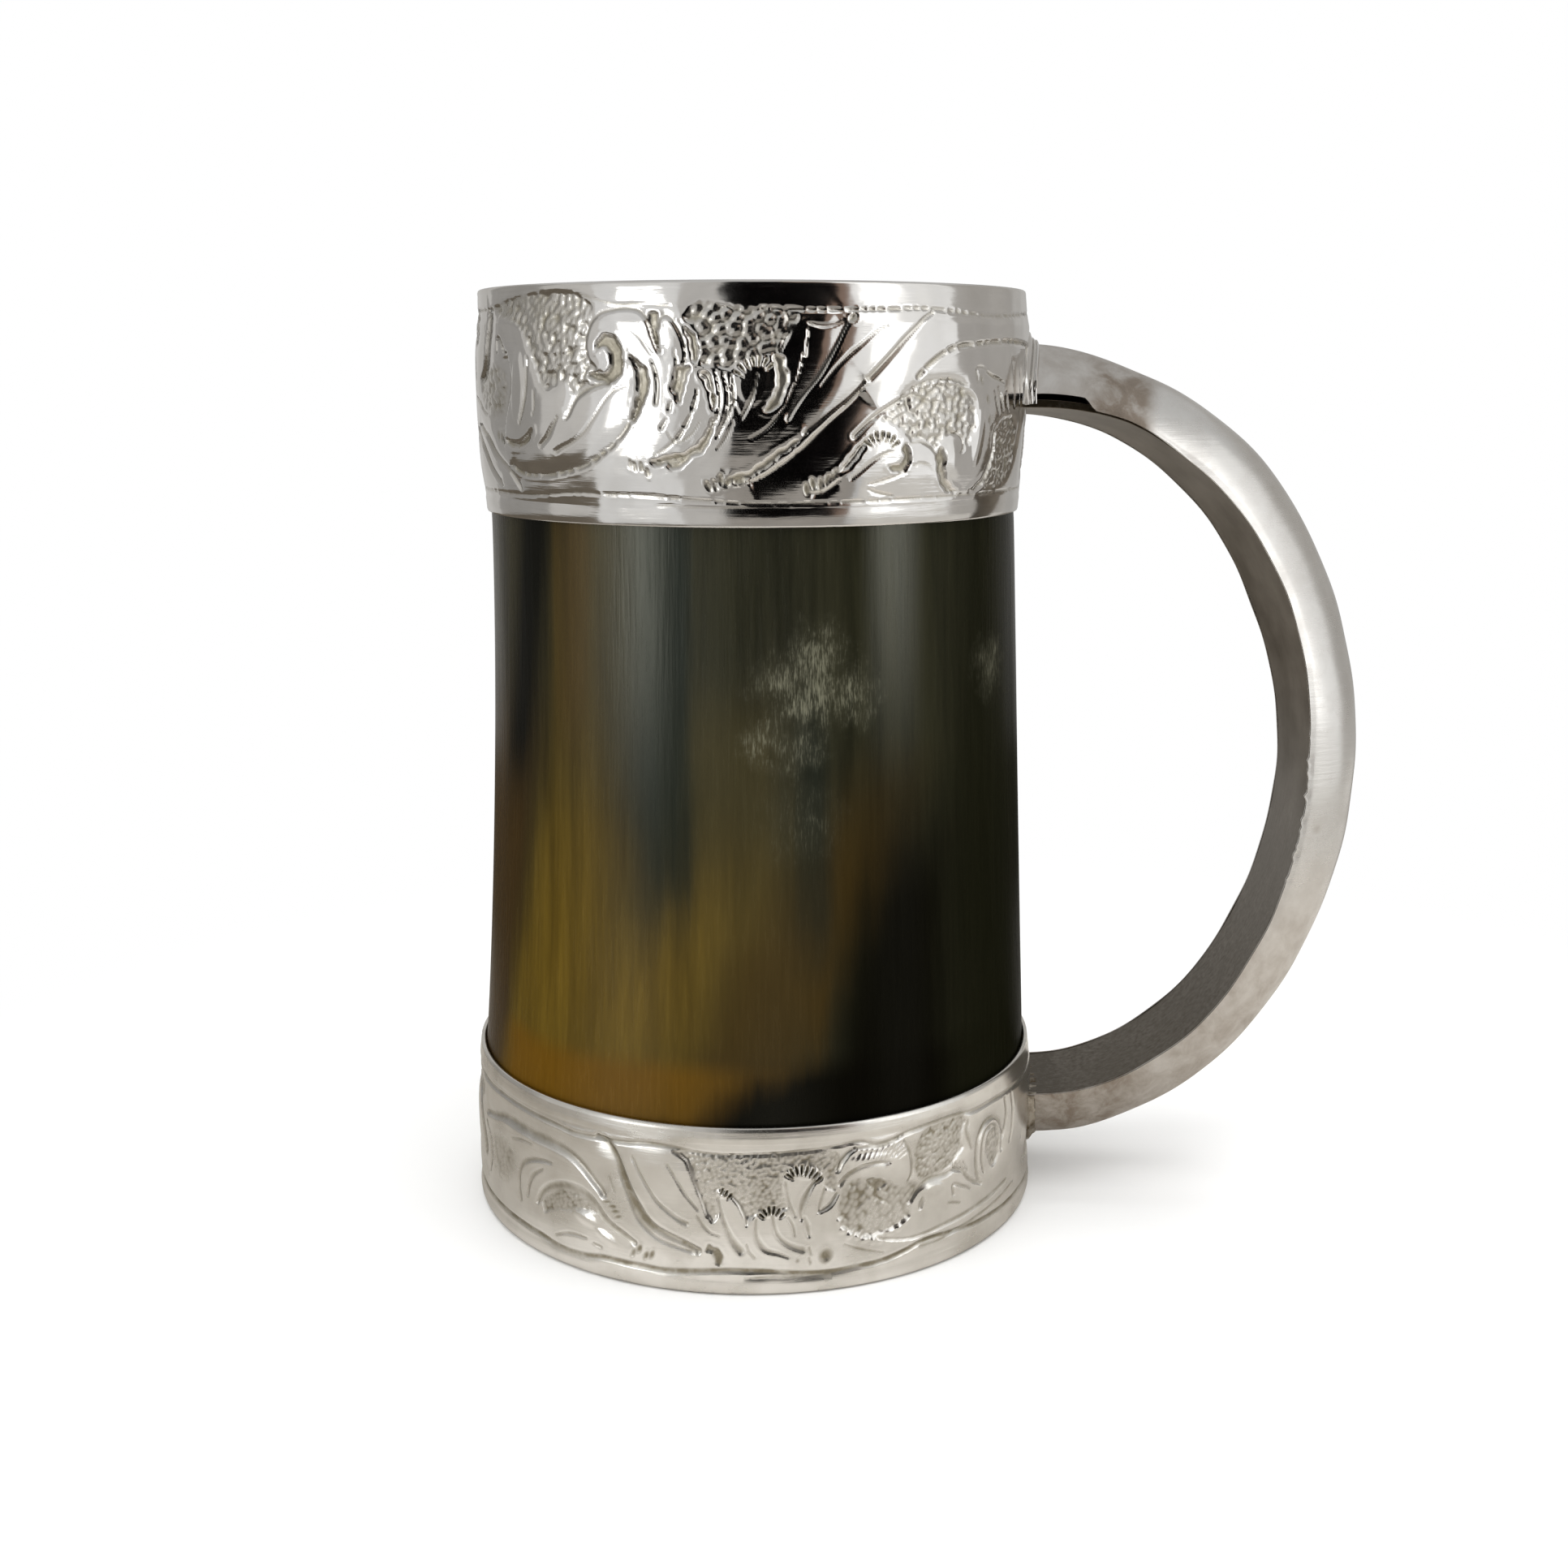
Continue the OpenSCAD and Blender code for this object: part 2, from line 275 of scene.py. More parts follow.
scratch = calc(tree, "MULTIPLY_ADD", scuffs, 0.36, scratch)
scratch = remap(tree, scratch, 0.52, 0.86, 0.14, soft=True)
scuffs = calc(tree, "MULTIPLY", rubbed, scratch)
fine = remap(tree, fibres, 0.3, 0.7, 0.92, 1.08)
colour = node(tree, "HueSaturation", {"Value": fine, "Color": colour})[0]
colour = blend(tree, scuffs, colour, linear("#94927c"))
rough = remap(tree, fibres, 0.3, 0.7, 0.2, 0.3)
rough = calc(tree, "MULTIPLY_ADD", scuffs, 0.25, rough)
dress(tree, shader, colour, rough, calc(tree, "ADD", fibres, streaks), 0.10, 0.0005)
finish_piece(horn, "horn_body", horn_finish)


# ---- Bottom plug
# A turned hardwood disc that closes the lower end of the horn. It is pressed in from below and stands
# on the base plate; its upper edge is eased so that the seal can lie in the corner.
outline = [(0, 1.3), (41.6, 1.3), (42.3, 2.0), (42.3, 8.4), (41.8, 9.0), (40, 9.1), (20, 9.15), (0, 9.15)]
plug = turned("plug_disc", outline, 96)

# Oiled oak, end turned: straight grain across the disc with darker pores, dull with a faint gloss.
plug_finish, tree, shader = start_finish("oiled_oak", IOR=1.5)
where = node(tree, "TexCoord")["Object"]
grain = node(tree, "Mapping", {"Vector": where, "Scale": (0.06, 1.0, 1.0)})["Vector"]
grain = noise(tree, grain, 0.0016, 5.0, 0.65)
colour = blend(tree, remap(tree, grain, 0.3, 0.7), linear("#4a3018"), linear("#7b5732"))
dress(tree, shader, colour, remap(tree, grain, 0.0, 1.0, 0.6, 0.42), grain, 0.3, 0.0003)
finish_piece(plug, "bottom_plug", plug_finish)


# ---- Plug seal
# A bead of brewer's pitch run hot into the corner between plug and horn, which makes the bottom tight.
# It sets with a hollow, slightly lumpy face.
outline = [(42.3, 9.25), (42.35, 10.6), (41.9, 10.3), (41.4, 9.8), (41.0, 9.45), (40.75, 9.25)]
seal = turned("seal_bead", outline, 180)
points = read_points(seal)
turn, _ = around(points)
points[:, 2] += np.where(points[:, 2] > 9.3, 0.10 * np.sin(23 * turn) + 0.07 * np.sin(41 * turn + 1), 0)
set_points(seal, points)

# Pitch resin: dark amber-brown, glassy where it ran smooth and dull where it has crazed.
resin_finish, tree, shader = start_finish("brown_pitch_resin", IOR=1.55)
where = node(tree, "TexCoord")["Object"]
crazing = noise(tree, where, 0.0015, 4.0)
colour = blend(tree, crazing, linear("#2a1a0c"), linear("#553818"))
dress(tree, shader, colour, remap(tree, crazing, 0.0, 1.0, 0.25, 0.7), crazing, 0.3, 0.0003)
finish_piece(seal, "plug_seal", resin_finish)


# ---- Base plate
# A disc of silver sheet soldered into the foot of the lower collar. The cup stands on it; hammer work
# has left it very slightly hollow in the middle, and standing has scratched it all ways.
outline = [(0, 0.25), (20, 0.2), (38, 0.05), (43, 0.0), (46.5, 0.0), (46.85, 0.3), (46.85, 1.05), (46.6, 1.15),
           (0, 1.15)]
plate = turned("foot_plate", outline, 160)

# Satin silver: nickel silver dulled by use, grey with a warm cast, with fine scratches that blur reflections, drawn
# half a millimetre apart so that they show. Its grey is kept darker than the dulled metal is: painted shade that
# stands in for the dark horn and the shadow which the handle's strip mirrors.
satin_painted_dark_finish, tree, shader = start_finish("worn_satin_silver_painted_dark", Metallic=1.0)
where = node(tree, "TexCoord")["Object"]
wear = noise(tree, where, 0.012, 4.0, 0.6)
lines = node(tree, "Mapping", {"Vector": where, "Scale": (0.12, 1.0, 0.12)})["Vector"]
lines = noise(tree, lines, 0.0005, 2.0, 0.7)
colour = blend(tree, remap(tree, wear, 0.35, 0.65), linear("#7c766d"), linear("#a09a92"))
held = node(tree, "Attribute", attribute_name="tarnish")["Fac"]
speck = noise(tree, where, 0.0009, 3.0, 0.7)
speck = remap(tree, speck, 0.3, 0.7, 0.75, 1.2)
held = calc(tree, "MULTIPLY", held, speck, clamp=True)
# The tarnish values take the colour towards dark brown; along the handle strip's open seam this dark is painted shade.
colour = blend(tree, held, colour, linear("#4c4436"))
dress(tree, shader, colour, remap(tree, wear, 0.0, 1.0, 0.28, 0.42), lines, 0.12, 0.0002)
finish_piece(plate, "base_plate", satin_painted_dark_finish)


# ---- Lower bedding
# Pitch poured between the foot of the horn and its collar. It holds the collar and backs the thin
# sheet, and stays just short of the collar's open edge.
outline = [(46.25, 1.6), (46.6, 1.6), (46.6, 24.0), (46.4, 25.8), (46.25, 25.9), (46.25, 14)]
lower_bed = turned("foot_pitch", outline, 180)
finish_piece(lower_bed, "lower_bedding", resin_finish)


# ---- Lower collar
# A strip of silver sheet soldered into a ring round the foot. The leaves are driven out from behind and
# chased from the front over pitch: grounds matted with a punch, lines run with a tracer.
STEP = 0.1   # pitch of the flat drawing of a collar, in millimetres
CROWDING = 0.42   # how far the columns of points are drawn towards the front of a ring
STRIP_FILM = 0.06   # tarnish on the plain strips outside the drawing


def smooth(share):
    # An even start and end for anything that grows from 0 to 1
    share = np.clip(share, 0, 1)
    return share * share * (3 - 2 * share)


def flat_sheet(u_from, u_to, v_from, v_to, broad, film):
    # An empty drawing of a band, with how broad its tracer was and how much film its lines have kept
    u, v = np.arange(u_from, u_to, STEP), np.arange(v_from, v_to, STEP)
    empty = {name: np.zeros((len(v), len(u))) for name in ("height", "stain", "ground")}
    return {"u": u, "v": v, "broad": broad, "film": film, **empty}


def drawn(text, closed=False):
    # A line through given points "u,v u,v ...", in millimetres along and up the band, rounded off between them
    p = np.array([pair.split(",") for pair in text.split()], float)
    if closed:
        p = np.vstack([p[-1:], p, p[:2]])
    else:
        p = np.vstack([2 * p[0] - p[1], p, 2 * p[-1] - p[-2]])
    line = []
    for a, b, c, d in zip(p, p[1:], p[2:], p[3:]):
        t = np.arange(0, 1, min(0.5, 0.4 / max(np.hypot(*(c - b)), 0.01)))[:, None]
        line.append(b + 0.5 * t * (c - a + t * (2 * a - 5 * b + 4 * c - d + t * (3 * b - a - 3 * c + d))))
    return np.vstack(line + [p[-2:-1]])


def near(sheet, line, reach):
    # The patch of the sheet within reach of a line: where it is, how far off, on which side, how far along
    low, high = line.min(0) - reach, line.max(0) + reach
    patch = (slice(*np.searchsorted(sheet["v"], (low[1], high[1]))),
             slice(*np.searchsorted(sheet["u"], (low[0], high[0]))))
    u, v = np.meshgrid(sheet["u"][patch[1]], sheet["v"][patch[0]])
    best, side, run = np.full(u.shape, 1e9), np.ones(u.shape), np.zeros(u.shape)
    inside, length = np.zeros(u.shape, bool), 0.0
    for a, b in zip(line, line[1:]):
        step = b - a
        size = max(float(np.hypot(*step)), 1e-6)
        du, dv = u - a[0], v - a[1]
        t = np.clip((du * step[0] + dv * step[1]) / size ** 2, 0, 1)
        off = (du - t * step[0]) ** 2 + (dv - t * step[1]) ** 2
        closer = off < best
        best = np.where(closer, off, best)
        side = np.where(closer, np.sign(step[0] * dv - step[1] * du), side)
        run = np.where(closer, length + t * size, run)
        if abs(step[1]) > 1e-9:
            inside ^= ((a[1] > v) != (b[1] > v)) & (du < step[0] * dv / step[1])
        length += size
    return patch, u, v, np.sqrt(best), side, run, length, inside


def chase(sheet, text, width, depth, fall=0.0, strikes=0.0, stain=0.6, flat=False):
    # A line run with the tracer: width at its start, middle and end. With a fall, the sheet on one side
    # (left of the line where it is positive) sinks to it over that many millimetres. Strikes are the gaps between
    # blows of a punch along it, and a flat line has a level floor.
    line = drawn(text)
    widths = np.broadcast_to(np.array(width, float), (3,)) / 2 * sheet["broad"]
    patch, _, _, off, side, run, length, _ = near(sheet, line, max(widths.max() * 2.5, 2.6 * abs(fall)))
    half = np.interp(run / length, (0, 0.5, 1), widths)
    q = off / half
    cut = 1 - smooth((q - 0.55) / 0.45) if flat else np.clip(1 - q * q, 0, 1) ** 1.5
    if strikes:
        beat = (run + 0.5 * side * off) / strikes + 0.3 * np.sin(0.8 * run) + 0.2 * np.sin(0.31 * run + 1)
        cut = cut * (1 - 0.9 * np.exp(-((beat - np.round(beat)) * strikes / 0.3) ** 2))
    lip = 0.1 * np.exp(-((q - 1.35) / 0.4) ** 2)
    move = depth * (lip - cut)
    if fall:
        slope = np.exp(-off / abs(fall)) * smooth(np.minimum(run, length - run) / 1.5 + 0.3)
        move = np.where(side * fall > 0, -depth * np.maximum(slope, cut), move)
    sheet["height"][patch] += move
    sheet["stain"][patch] = np.maximum(sheet["stain"][patch], stain * cut * sheet["film"])


def pebbled(u, v, long, wide, tilt):
    # Rounded grains of a matted ground, jittered on a slanting grid
    c, s = math.cos(math.radians(tilt)), math.sin(math.radians(tilt))
    a, b = (u * c + v * s) / long, (v * c - u * s) / wide
    best = np.full(u.shape, 9.0)
    for i in (-1, 0, 1):
        for j in (-1, 0, 1):
            ca, cb = np.floor(a) + i, np.floor(b) + j
            ja = np.modf(np.abs(np.sin(ca * 12.9898 + cb * 78.233) * 43758.5453))[0]
            jb = np.modf(np.abs(np.sin(ca * 39.346 + cb * 11.135) * 24634.6345))[0]
            best = np.minimum(best, (a - ca - 0.1 - 0.8 * ja) ** 2 + (b - cb - 0.1 - 0.8 * jb) ** 2)
    return 1 - np.clip(best * 1.7, 0, 1)


def mat_ground(sheet, text, grain, rise, level=-0.7, bevel=0.6, stain=0.75):
    # A ground beaten back between the leaves and matted with a punch: grain length, width and tilt
    patch, u, v, off, *_, inside = near(sheet, drawn(text, True), 1.5)
    sunk = smooth((np.where(inside, off, -off) + 0.2) / bevel)
    grains = pebbled(u, v, *grain)
    sheet["height"][patch] = sheet["height"][patch] * (1 - sunk) + sunk * (level + rise * grains)
    sheet["ground"][patch] = np.maximum(sheet["ground"][patch], sunk)
    sheet["stain"][patch] = np.maximum(sheet["stain"][patch], sunk * stain * (1 - 0.75 * grains))


def sink(sheet, text, depth, bevel=0.35, stain=0.9):
    # A flat channel set down into a leaf, where tarnish has stayed
    patch, u, v, off, *_, inside = near(sheet, drawn(text, True), 1.2)
    signed = np.where(inside, off, -off) + 0.14 * np.sin(2.3 * u + 1.1 * v) * np.sin(2.9 * v - 1.3 * u)
    sunk = smooth((signed + 0.1) / bevel)
    lip = 0.15 * np.exp(-((signed + 0.45) / 0.3) ** 2)
    sheet["height"][patch] += depth * (lip - sunk)
    sheet["stain"][patch] = np.maximum(sheet["stain"][patch], sunk * stain)


def boss(sheet, u, v, long, wide, tilt, rise, stain=0.0):
    # A small dome driven out (or, with a negative rise, a punch mark driven in), with a soft edge
    patch, uu, vv, *_ = near(sheet, np.array([(u - 0.01, v), (u + 0.01, v)]), 1.3 * max(long, wide))
    c, s = math.cos(math.radians(tilt)), math.sin(math.radians(tilt))
    q = np.hypot(((uu - u) * c + (vv - v) * s) / (long / 2), ((vv - v) * c - (uu - u) * s) / (wide / 2))
    sheet["height"][patch] += rise * np.clip(1 - q * q, 0, 1) ** 1.3
    if rise < 0:
        sheet["height"][patch] -= 0.2 * rise * np.exp(-((q - 1.25) / 0.25) ** 2)
        sheet["stain"][patch] = np.maximum(sheet["stain"][patch], stain * np.clip(1.4 - q, 0, 1))


def claws(sheet, marks, long, wide, depth):
    # A row of thumb-nail punch marks: each a small loop with a bead left standing inside
    for u, v, tilt in marks:
        boss(sheet, u, v, long, wide, tilt, -depth, 0.8)
        boss(sheet, u, v, long * 0.55, wide * 0.5, tilt, depth * 0.8)


def teeth(sheet, text, count, long, depth):
    # A fan of short cuts square to a curled edge, on its right
    line = drawn(text)
    run = np.r_[0, np.cumsum(np.hypot(*np.diff(line, axis=0).T))]
    for share in (np.arange(count) + 0.5) / count:
        at = np.array([np.interp(share * run[-1], run, line[:, k]) for k in (0, 1)])
        ahead = np.array([np.interp(share * run[-1] + 0.3, run, line[:, k]) for k in (0, 1)])
        way = (ahead - at) / max(np.hypot(*(ahead - at)), 1e-6)
        end = at + long * np.array([way[1], -way[0]])
        chase(sheet, f"{at[0]},{at[1]} {end[0]},{end[1]}", (0.45, 0.4, 0.2), depth, stain=2.2)


def swell(sheet, reach, share):
    # Leaves swell between their lines: the sheet sinks softly towards every cut and every ground
    f0, f1 = np.fft.fftfreq(len(sheet["v"]), STEP)[:, None], np.fft.rfftfreq(len(sheet["u"]), STEP)
    cuts = np.fft.rfft2(np.minimum(sheet["height"], 0)) * np.exp(-2 * (math.pi * reach) ** 2 * (f0 ** 2 + f1 ** 2))
    sheet["height"] += share * np.fft.irfft2(cuts, sheet["height"].shape) * (1 - sheet["ground"])


def hammered(sheet, cell, rise, seed):
    # The soft unevenness that the hammer leaves, so that reflections waver; it closes on itself round the band
    random = np.random.default_rng(seed)
    rows, columns = int(np.ptp(sheet["v"]) / cell) + 3, int(np.ptp(sheet["u"]) / cell)
    knots = random.uniform(-1, 1, (rows, columns))
    a = (sheet["u"] - sheet["u"][0]) / (np.ptp(sheet["u"]) + STEP) * columns
    b = (sheet["v"] - sheet["v"][0]) / cell
    ia, ib, fa, fb = a.astype(int), b.astype(int), smooth(a % 1), smooth(b % 1)[:, None]
    top = knots[ib][:, ia] * (1 - fa) + knots[ib][:, (ia + 1) % columns] * fa
    low = knots[ib + 1][:, ia] * (1 - fa) + knots[ib + 1][:, (ia + 1) % columns] * fa
    sheet["height"] += rise * (top * (1 - fb) + low * fb)


def set_tarnish_and_shade(piece, film):
    # How much tarnish each point has kept, which the finish of the piece reads; on the handle it also carries painted
    # shade and a painted reflection
    made = piece.data.attributes.new("tarnish", "FLOAT", "POINT")
    made.data.foreach_set("value", film.astype(np.float32))


def strike_up(piece, sheet, radius, base_z, base_r, wall):
    # Lays the flat drawing round the ring twice and moves the outside of the sheet (beyond its wall radius) to it,
    # over the ring's own swell, which goes by height and radius. The columns of points are first drawn closer
    # together towards the front, where most of the fine work is.
    points = read_points(piece)
    turn, r = around(points)
    z = points[:, 2]
    turn -= CROWDING * np.sin(turn)
    points[:, 0], points[:, 1] = r * np.sin(turn), -r * np.cos(turn)
    u = turn * radius
    u = (u - sheet["u"][0]) % (math.pi * radius)
    a = np.clip(u / STEP, 0, len(sheet["u"]) - 1.001)
    b = np.clip((z - sheet["v"][0]) / STEP, 0, len(sheet["v"]) - 1.001)
    ia, ib, fa, fb = a.astype(int), b.astype(int), a % 1, b % 1
    got = {}
    for name in ("height", "stain"):
        grid = sheet[name]
        got[name] = (grid[ib, ia] * (1 - fa) + grid[ib, ia + 1] * fa) * (1 - fb) \
            + (grid[ib + 1, ia] * (1 - fa) + grid[ib + 1, ia + 1] * fa) * fb
    outside = (r > wall) & (z > sheet["v"][0]) & (z < sheet["v"][-1])
    new_r = np.where(outside, np.minimum(np.interp(z, base_z, base_r) + got["height"], radius), r)
    points[:, :2] *= (new_r / r)[:, None]
    set_points(piece, points)
    set_tarnish_and_shade(piece, np.where(outside, got["stain"], STRIP_FILM))


LOWER_R, FOOT_WALL_R = 48.2, 46.9
foot_sheet = flat_sheet(-94.7, -94.7 + math.pi * LOWER_R + STEP, 2.6, 24.6, 1.5, 0.9)
FINE = (0.75, 0.6, 25)

# Matted grounds of the foot band
mat_ground(foot_sheet, "-11,23 -6,23 0,23.1 6,23.2 11,23.3 13.6,22.6 14.2,21.2 13.4,19.6 13.5,17.6 13.2,16.4"
           " 11.6,17.2 11.3,18.8 10.2,20.2 8.4,20.7 6.6,20.5 5.3,19.4 5,17.6 5.5,15.6 5.6,14.2 4.4,13.8 3,14.4"
           " 1.6,13.8 0.4,12.8 -0.5,12.8 -1.2,14.6 -2.6,16.2 -4,17.3 -5,16.8 -5.2,15.2 -4.8,13.4 -5.8,12 -6.8,13.6"
           " -7.6,16 -8.4,18.6 -9.4,21", FINE, 0.16)
mat_ground(foot_sheet, "14.6,17 16.4,17.9 18.6,17.8 20.6,17.2 22.2,16.8 23.4,15.8 24.8,15 26.4,15.6 27.6,15 27,13"
           " 26.2,11.2 25.8,9.8 24,8.9 22,8.4 19.6,8.2 17.6,8.2 15.8,9.2 14.4,10.2 13.7,11.8 13.6,13.6 14,15.6",
           (1.1, 0.9, 50), 0.2)
mat_ground(foot_sheet, "27,20 28,22.2 29.4,23.4 32,23.6 35,23.7 38,23.3 38.2,22.2 37.2,20.8 36.8,19.4 37.2,18.4"
           " 35.8,17.2 34.4,16.2 32,15.6 30,15.5 28.6,15.2 27.6,15.8 26.9,17.2 27,18.6", FINE, 0.18)
mat_ground(foot_sheet, "-34.6,11.4 -33,12.6 -30.6,13 -28.4,12.8 -26.6,11.8 -25.4,10.6 -27.6,10.4 -30,9.6 -32.6,9.2"
           " -34.8,8.4 -36.6,7.6 -37,9.4", FINE, 0.14, -0.55)
mat_ground(foot_sheet, "43.4,17.6 44.8,19 46.6,18.6 47.8,17 47.6,14.8 46.6,13 45,12.4 44,14 43.4,15.8", FINE, 0.18,
           -0.6)
mat_ground(foot_sheet, "-78,21.8 -72,22.6 -64,22.4 -59,21.4 -60,19.4 -64,18.4 -69,18.8 -74,18.6 -78,19.4", FINE, 0.18)
mat_ground(foot_sheet, "-58,14 -54,16 -49,16.8 -45,16 -44,13.4 -45.6,9.8 -49,8 -53,8.4 -56.6,10.4", (1.2, 0.8, 20),
           0.14, -0.4, 2.2, 0.4)
mat_ground(foot_sheet, "-90,8 -86,6.6 -80,6.4 -75,7.6 -74,9.6 -78,11 -84,11.4 -89,10.4", FINE, 0.18)

# Long leaf with its ribs
chase(foot_sheet, "-56,18 -52,18.9 -48,20 -44,20.2 -38,20 -33,19.8 -30,19.1 -27.6,17.7 -25.6,15.9 -24.3,14.7"
      " -23.8,14", (0.9, 1.4, 1.0), 0.4, fall=1.6)
chase(foot_sheet, "-25,23.3 -23.4,22.9 -22,21.6 -21,19.8 -20.2,17.8 -19.2,15.6 -18,13.4 -16.6,11.4 -15,10.1 -13,9.2"
      " -10.6,8.3 -8,7.2", (0.8, 1.5, 1.0), 0.42, fall=-1.2, stain=0.9)
chase(foot_sheet, "-21.2,19 -20.2,16.4 -19,13.6 -17.8,11.2 -16,9.4 -14,8.2 -11,7.3 -8,6.6", (0.3, 0.6, 0.3), 0.14)
chase(foot_sheet, "-18.6,21.2 -17.4,19 -16,16.8 -14.4,14.6 -12.4,13 -10.8,12 -9.8,11.6", (0.3, 0.55, 0.7), 0.2)
chase(foot_sheet, "-12.9,20.9 -11.4,18.6 -9.9,16.2 -8.6,14.6 -8,13.9", (0.2, 0.5, 0.3), 0.17)
chase(foot_sheet, "-22.8,17.2 -22.2,15.6 -21.8,14.8", 0.35, 0.08)
chase(foot_sheet, "-11.8,22.9 -9.9,21.9 -9,20 -8.1,17.6 -7.2,15 -6.6,13", (0.4, 0.7, 0.4), 0.2, fall=0.8)
chase(foot_sheet, "-8.2,13 -7.2,11.5 -6.1,10.4 -4.8,9.9", (0.3, 0.45, 0.3), 0.14)

# Left scroll
chase(foot_sheet, "-42.6,7.6 -43,10 -42.8,12.4 -41.6,14.4 -39.6,15.6 -37,16.3 -34.4,16.6", (0.5, 0.9, 0.4), 0.24,
      fall=0.9)
chase(foot_sheet, "-40.6,9.2 -40.2,11 -39.4,12.7 -38.2,13.9 -36.6,14.9", (0.5, 0.8, 0.4), 0.26)
chase(foot_sheet, "-38.2,8.8 -37.4,10.4 -36,11.8 -34,12.9 -31.6,13.6 -29,13.6 -27,13 -25.4,11.8 -24,10.3 -22.4,9.1"
      " -20.4,8.2 -18.4,7.1", (0.6, 1.7, 0.8), 0.34, fall=-1.4)
chase(foot_sheet, "-33.8,4.7 -32,5.5 -29.8,6 -27.2,6", (0.3, 0.6, 0.4), 0.2)
chase(foot_sheet, "-25.8,5.5 -24.4,5.2", 0.5, 0.14)
chase(foot_sheet, "-45,17.6 -42,18.2 -39.4,18.3", 0.4, 0.1)
boss(foot_sheet, -27.6, 9.4, 6, 2.4, -20, 0.22)
boss(foot_sheet, -23.6, 7.0, 5, 1.8, -28, 0.2)
boss(foot_sheet, -49.4, 9.8, 5.5, 3.4, 0, 0.25)
claws(foot_sheet, ((-23.2, 13.0, 10), (-22.2, 12.4, 10), (-21.7, 11.7, 15), (-21.2, 10.9, 20)), 1.4, 0.6, 0.2)
claws(foot_sheet, ((-18.7, 5.4, 65), (-17.6, 6.3, 65), (-16.5, 5.4, 65), (-15.5, 5.7, 65)), 1.7, 0.8, 0.22)

# Buds in the middle
chase(foot_sheet, "-5,16 -4.5,14 -4,12.2 -3.3,10.4 -2.5,8.8 -1.5,7.5", (0.5, 0.6, 1.1), 0.24)
chase(foot_sheet, "-2.6,16.2 -1.5,14.8 -0.8,13 -0.6,11.6", (0.4, 0.6, 0.3), 0.26, fall=0.6)
boss(foot_sheet, -4.3, 16.6, 2.0, 1.3, -30, 0.3)
teeth(foot_sheet, "-4.6,17.4 -3.6,17 -2.7,16.2", 3, 0.7, 0.3)
chase(foot_sheet, "0.9,12.6 0.8,10.6 1.3,8.9 2.4,7.6 4.2,7 5.8,6.3", (0.5, 0.8, 0.4), 0.22)
chase(foot_sheet, "3.4,13 3.7,11.2 4.4,9.6 5.6,8.5 6.9,7.8 8,7.4", (0.6, 0.6, 0.9), 0.24)
chase(foot_sheet, "5.8,12.8 6.5,11.4 6.8,9.8", (0.5, 0.5, 0.3), 0.2)
boss(foot_sheet, 3.2, 13.6, 4.4, 1.6, 0, 0.24)
teeth(foot_sheet, "1.2,13 2.1,14 3.2,14.4 4.3,14.1 5.4,13.1", 6, 0.9, 0.42)
chase(foot_sheet, "5.4,18.4 5.7,16.4 6.2,14.6 6.9,12.9", (0.4, 0.5, 0.3), 0.18)
chase(foot_sheet, "9.9,18.4 8.9,17 8.1,15.4 7.7,13.6 7.8,12.3", (0.4, 1.0, 0.4), 0.28)
chase(foot_sheet, "11.4,17 11,15.6 10.6,14.2 10.6,13.4", (0.3, 0.5, 0.3), 0.18)
chase(foot_sheet, "13.5,15.9 12.6,14.6 11.6,13.8 10.5,13.3", (0.5, 0.7, 0.3), 0.4, fall=-0.7)
boss(foot_sheet, 8.4, 19.6, 5.4, 2.2, -10, 0.3)
teeth(foot_sheet, "5.4,19.2 6.2,20.3 7.6,20.7 9,20.4 10.2,19.7 11.2,18.4", 8, 1.1, 0.45)
chase(foot_sheet, "8.3,12.6 8.7,11.2 9,9.6", (0.5, 0.9, 0.5), 0.28)
chase(foot_sheet, "9,7.7 9.3,6.6", 0.4, 0.12)
chase(foot_sheet, "9,6 9.2,5.1", 0.4, 0.12)
boss(foot_sheet, 7.2, 5.7, 0.6, 0.6, 0, -0.12, 0.6)
sink(foot_sheet, "-6.9,7.4 -6.6,8.4 -5.9,8.2 -5,7.9 -4.3,7.1 -4.2,6 -4.6,5 -5.3,5.1 -5.6,6.2 -5.9,7", 0.26)
boss(foot_sheet, 11.6, 6.2, 2.4, 2.0, 80, -0.28, 0.9)
chase(foot_sheet, "-0.6,8.6 -0.2,7.4 0.6,6.4", 0.35, 0.1)

# Curled leaf and its oval
chase(foot_sheet, "13.6,19.6 14.2,21 15.2,22.2 16.4,22.8", (0.5, 0.7, 0.4), 0.42, fall=0.7)
chase(foot_sheet, "16.4,22.8 19,22.7 21,22.5 23,22.9 24.6,23.4", (0.4, 0.5, 0.3), 0.2)
chase(foot_sheet, "14,17.4 15,18.5 16.4,19.3 18.2,19.8 20.4,20 22.4,19.6", (0.8, 0.8, 0.3), 0.32, fall=-0.9)
chase(foot_sheet, "24.9,22.6 25.9,20.8 26.4,18.8 26.3,17 25.6,15.8", (0.4, 0.6, 0.4), 0.26, fall=0.8)
for k in range(9):
    chase(foot_sheet, f"{17.2 + 0.95 * k},{22.2 + 0.03 * k} {16.4 + 0.85 * k},{20.9 - 0.05 * k}", 0.3, 0.1, stain=0.3)
for k in range(4):
    chase(foot_sheet, f"{24.4 + 0.4 * k},{22.6 - 0.55 * k} {22.6 + 0.4 * k},{21.6 - 0.5 * k}", 0.3, 0.1, stain=0.3)
boss(foot_sheet, 18.8, 20.9, 7.5, 1.8, 0, 0.24)
sink(foot_sheet, "18,17.6 20,17.5 22,16.6 21.2,15.8 20.4,15.2 20.8,14.2 22.4,13.2 20.8,13.4 19.6,14.4 19.4,15.8"
     " 18.6,16.6", 0.2)
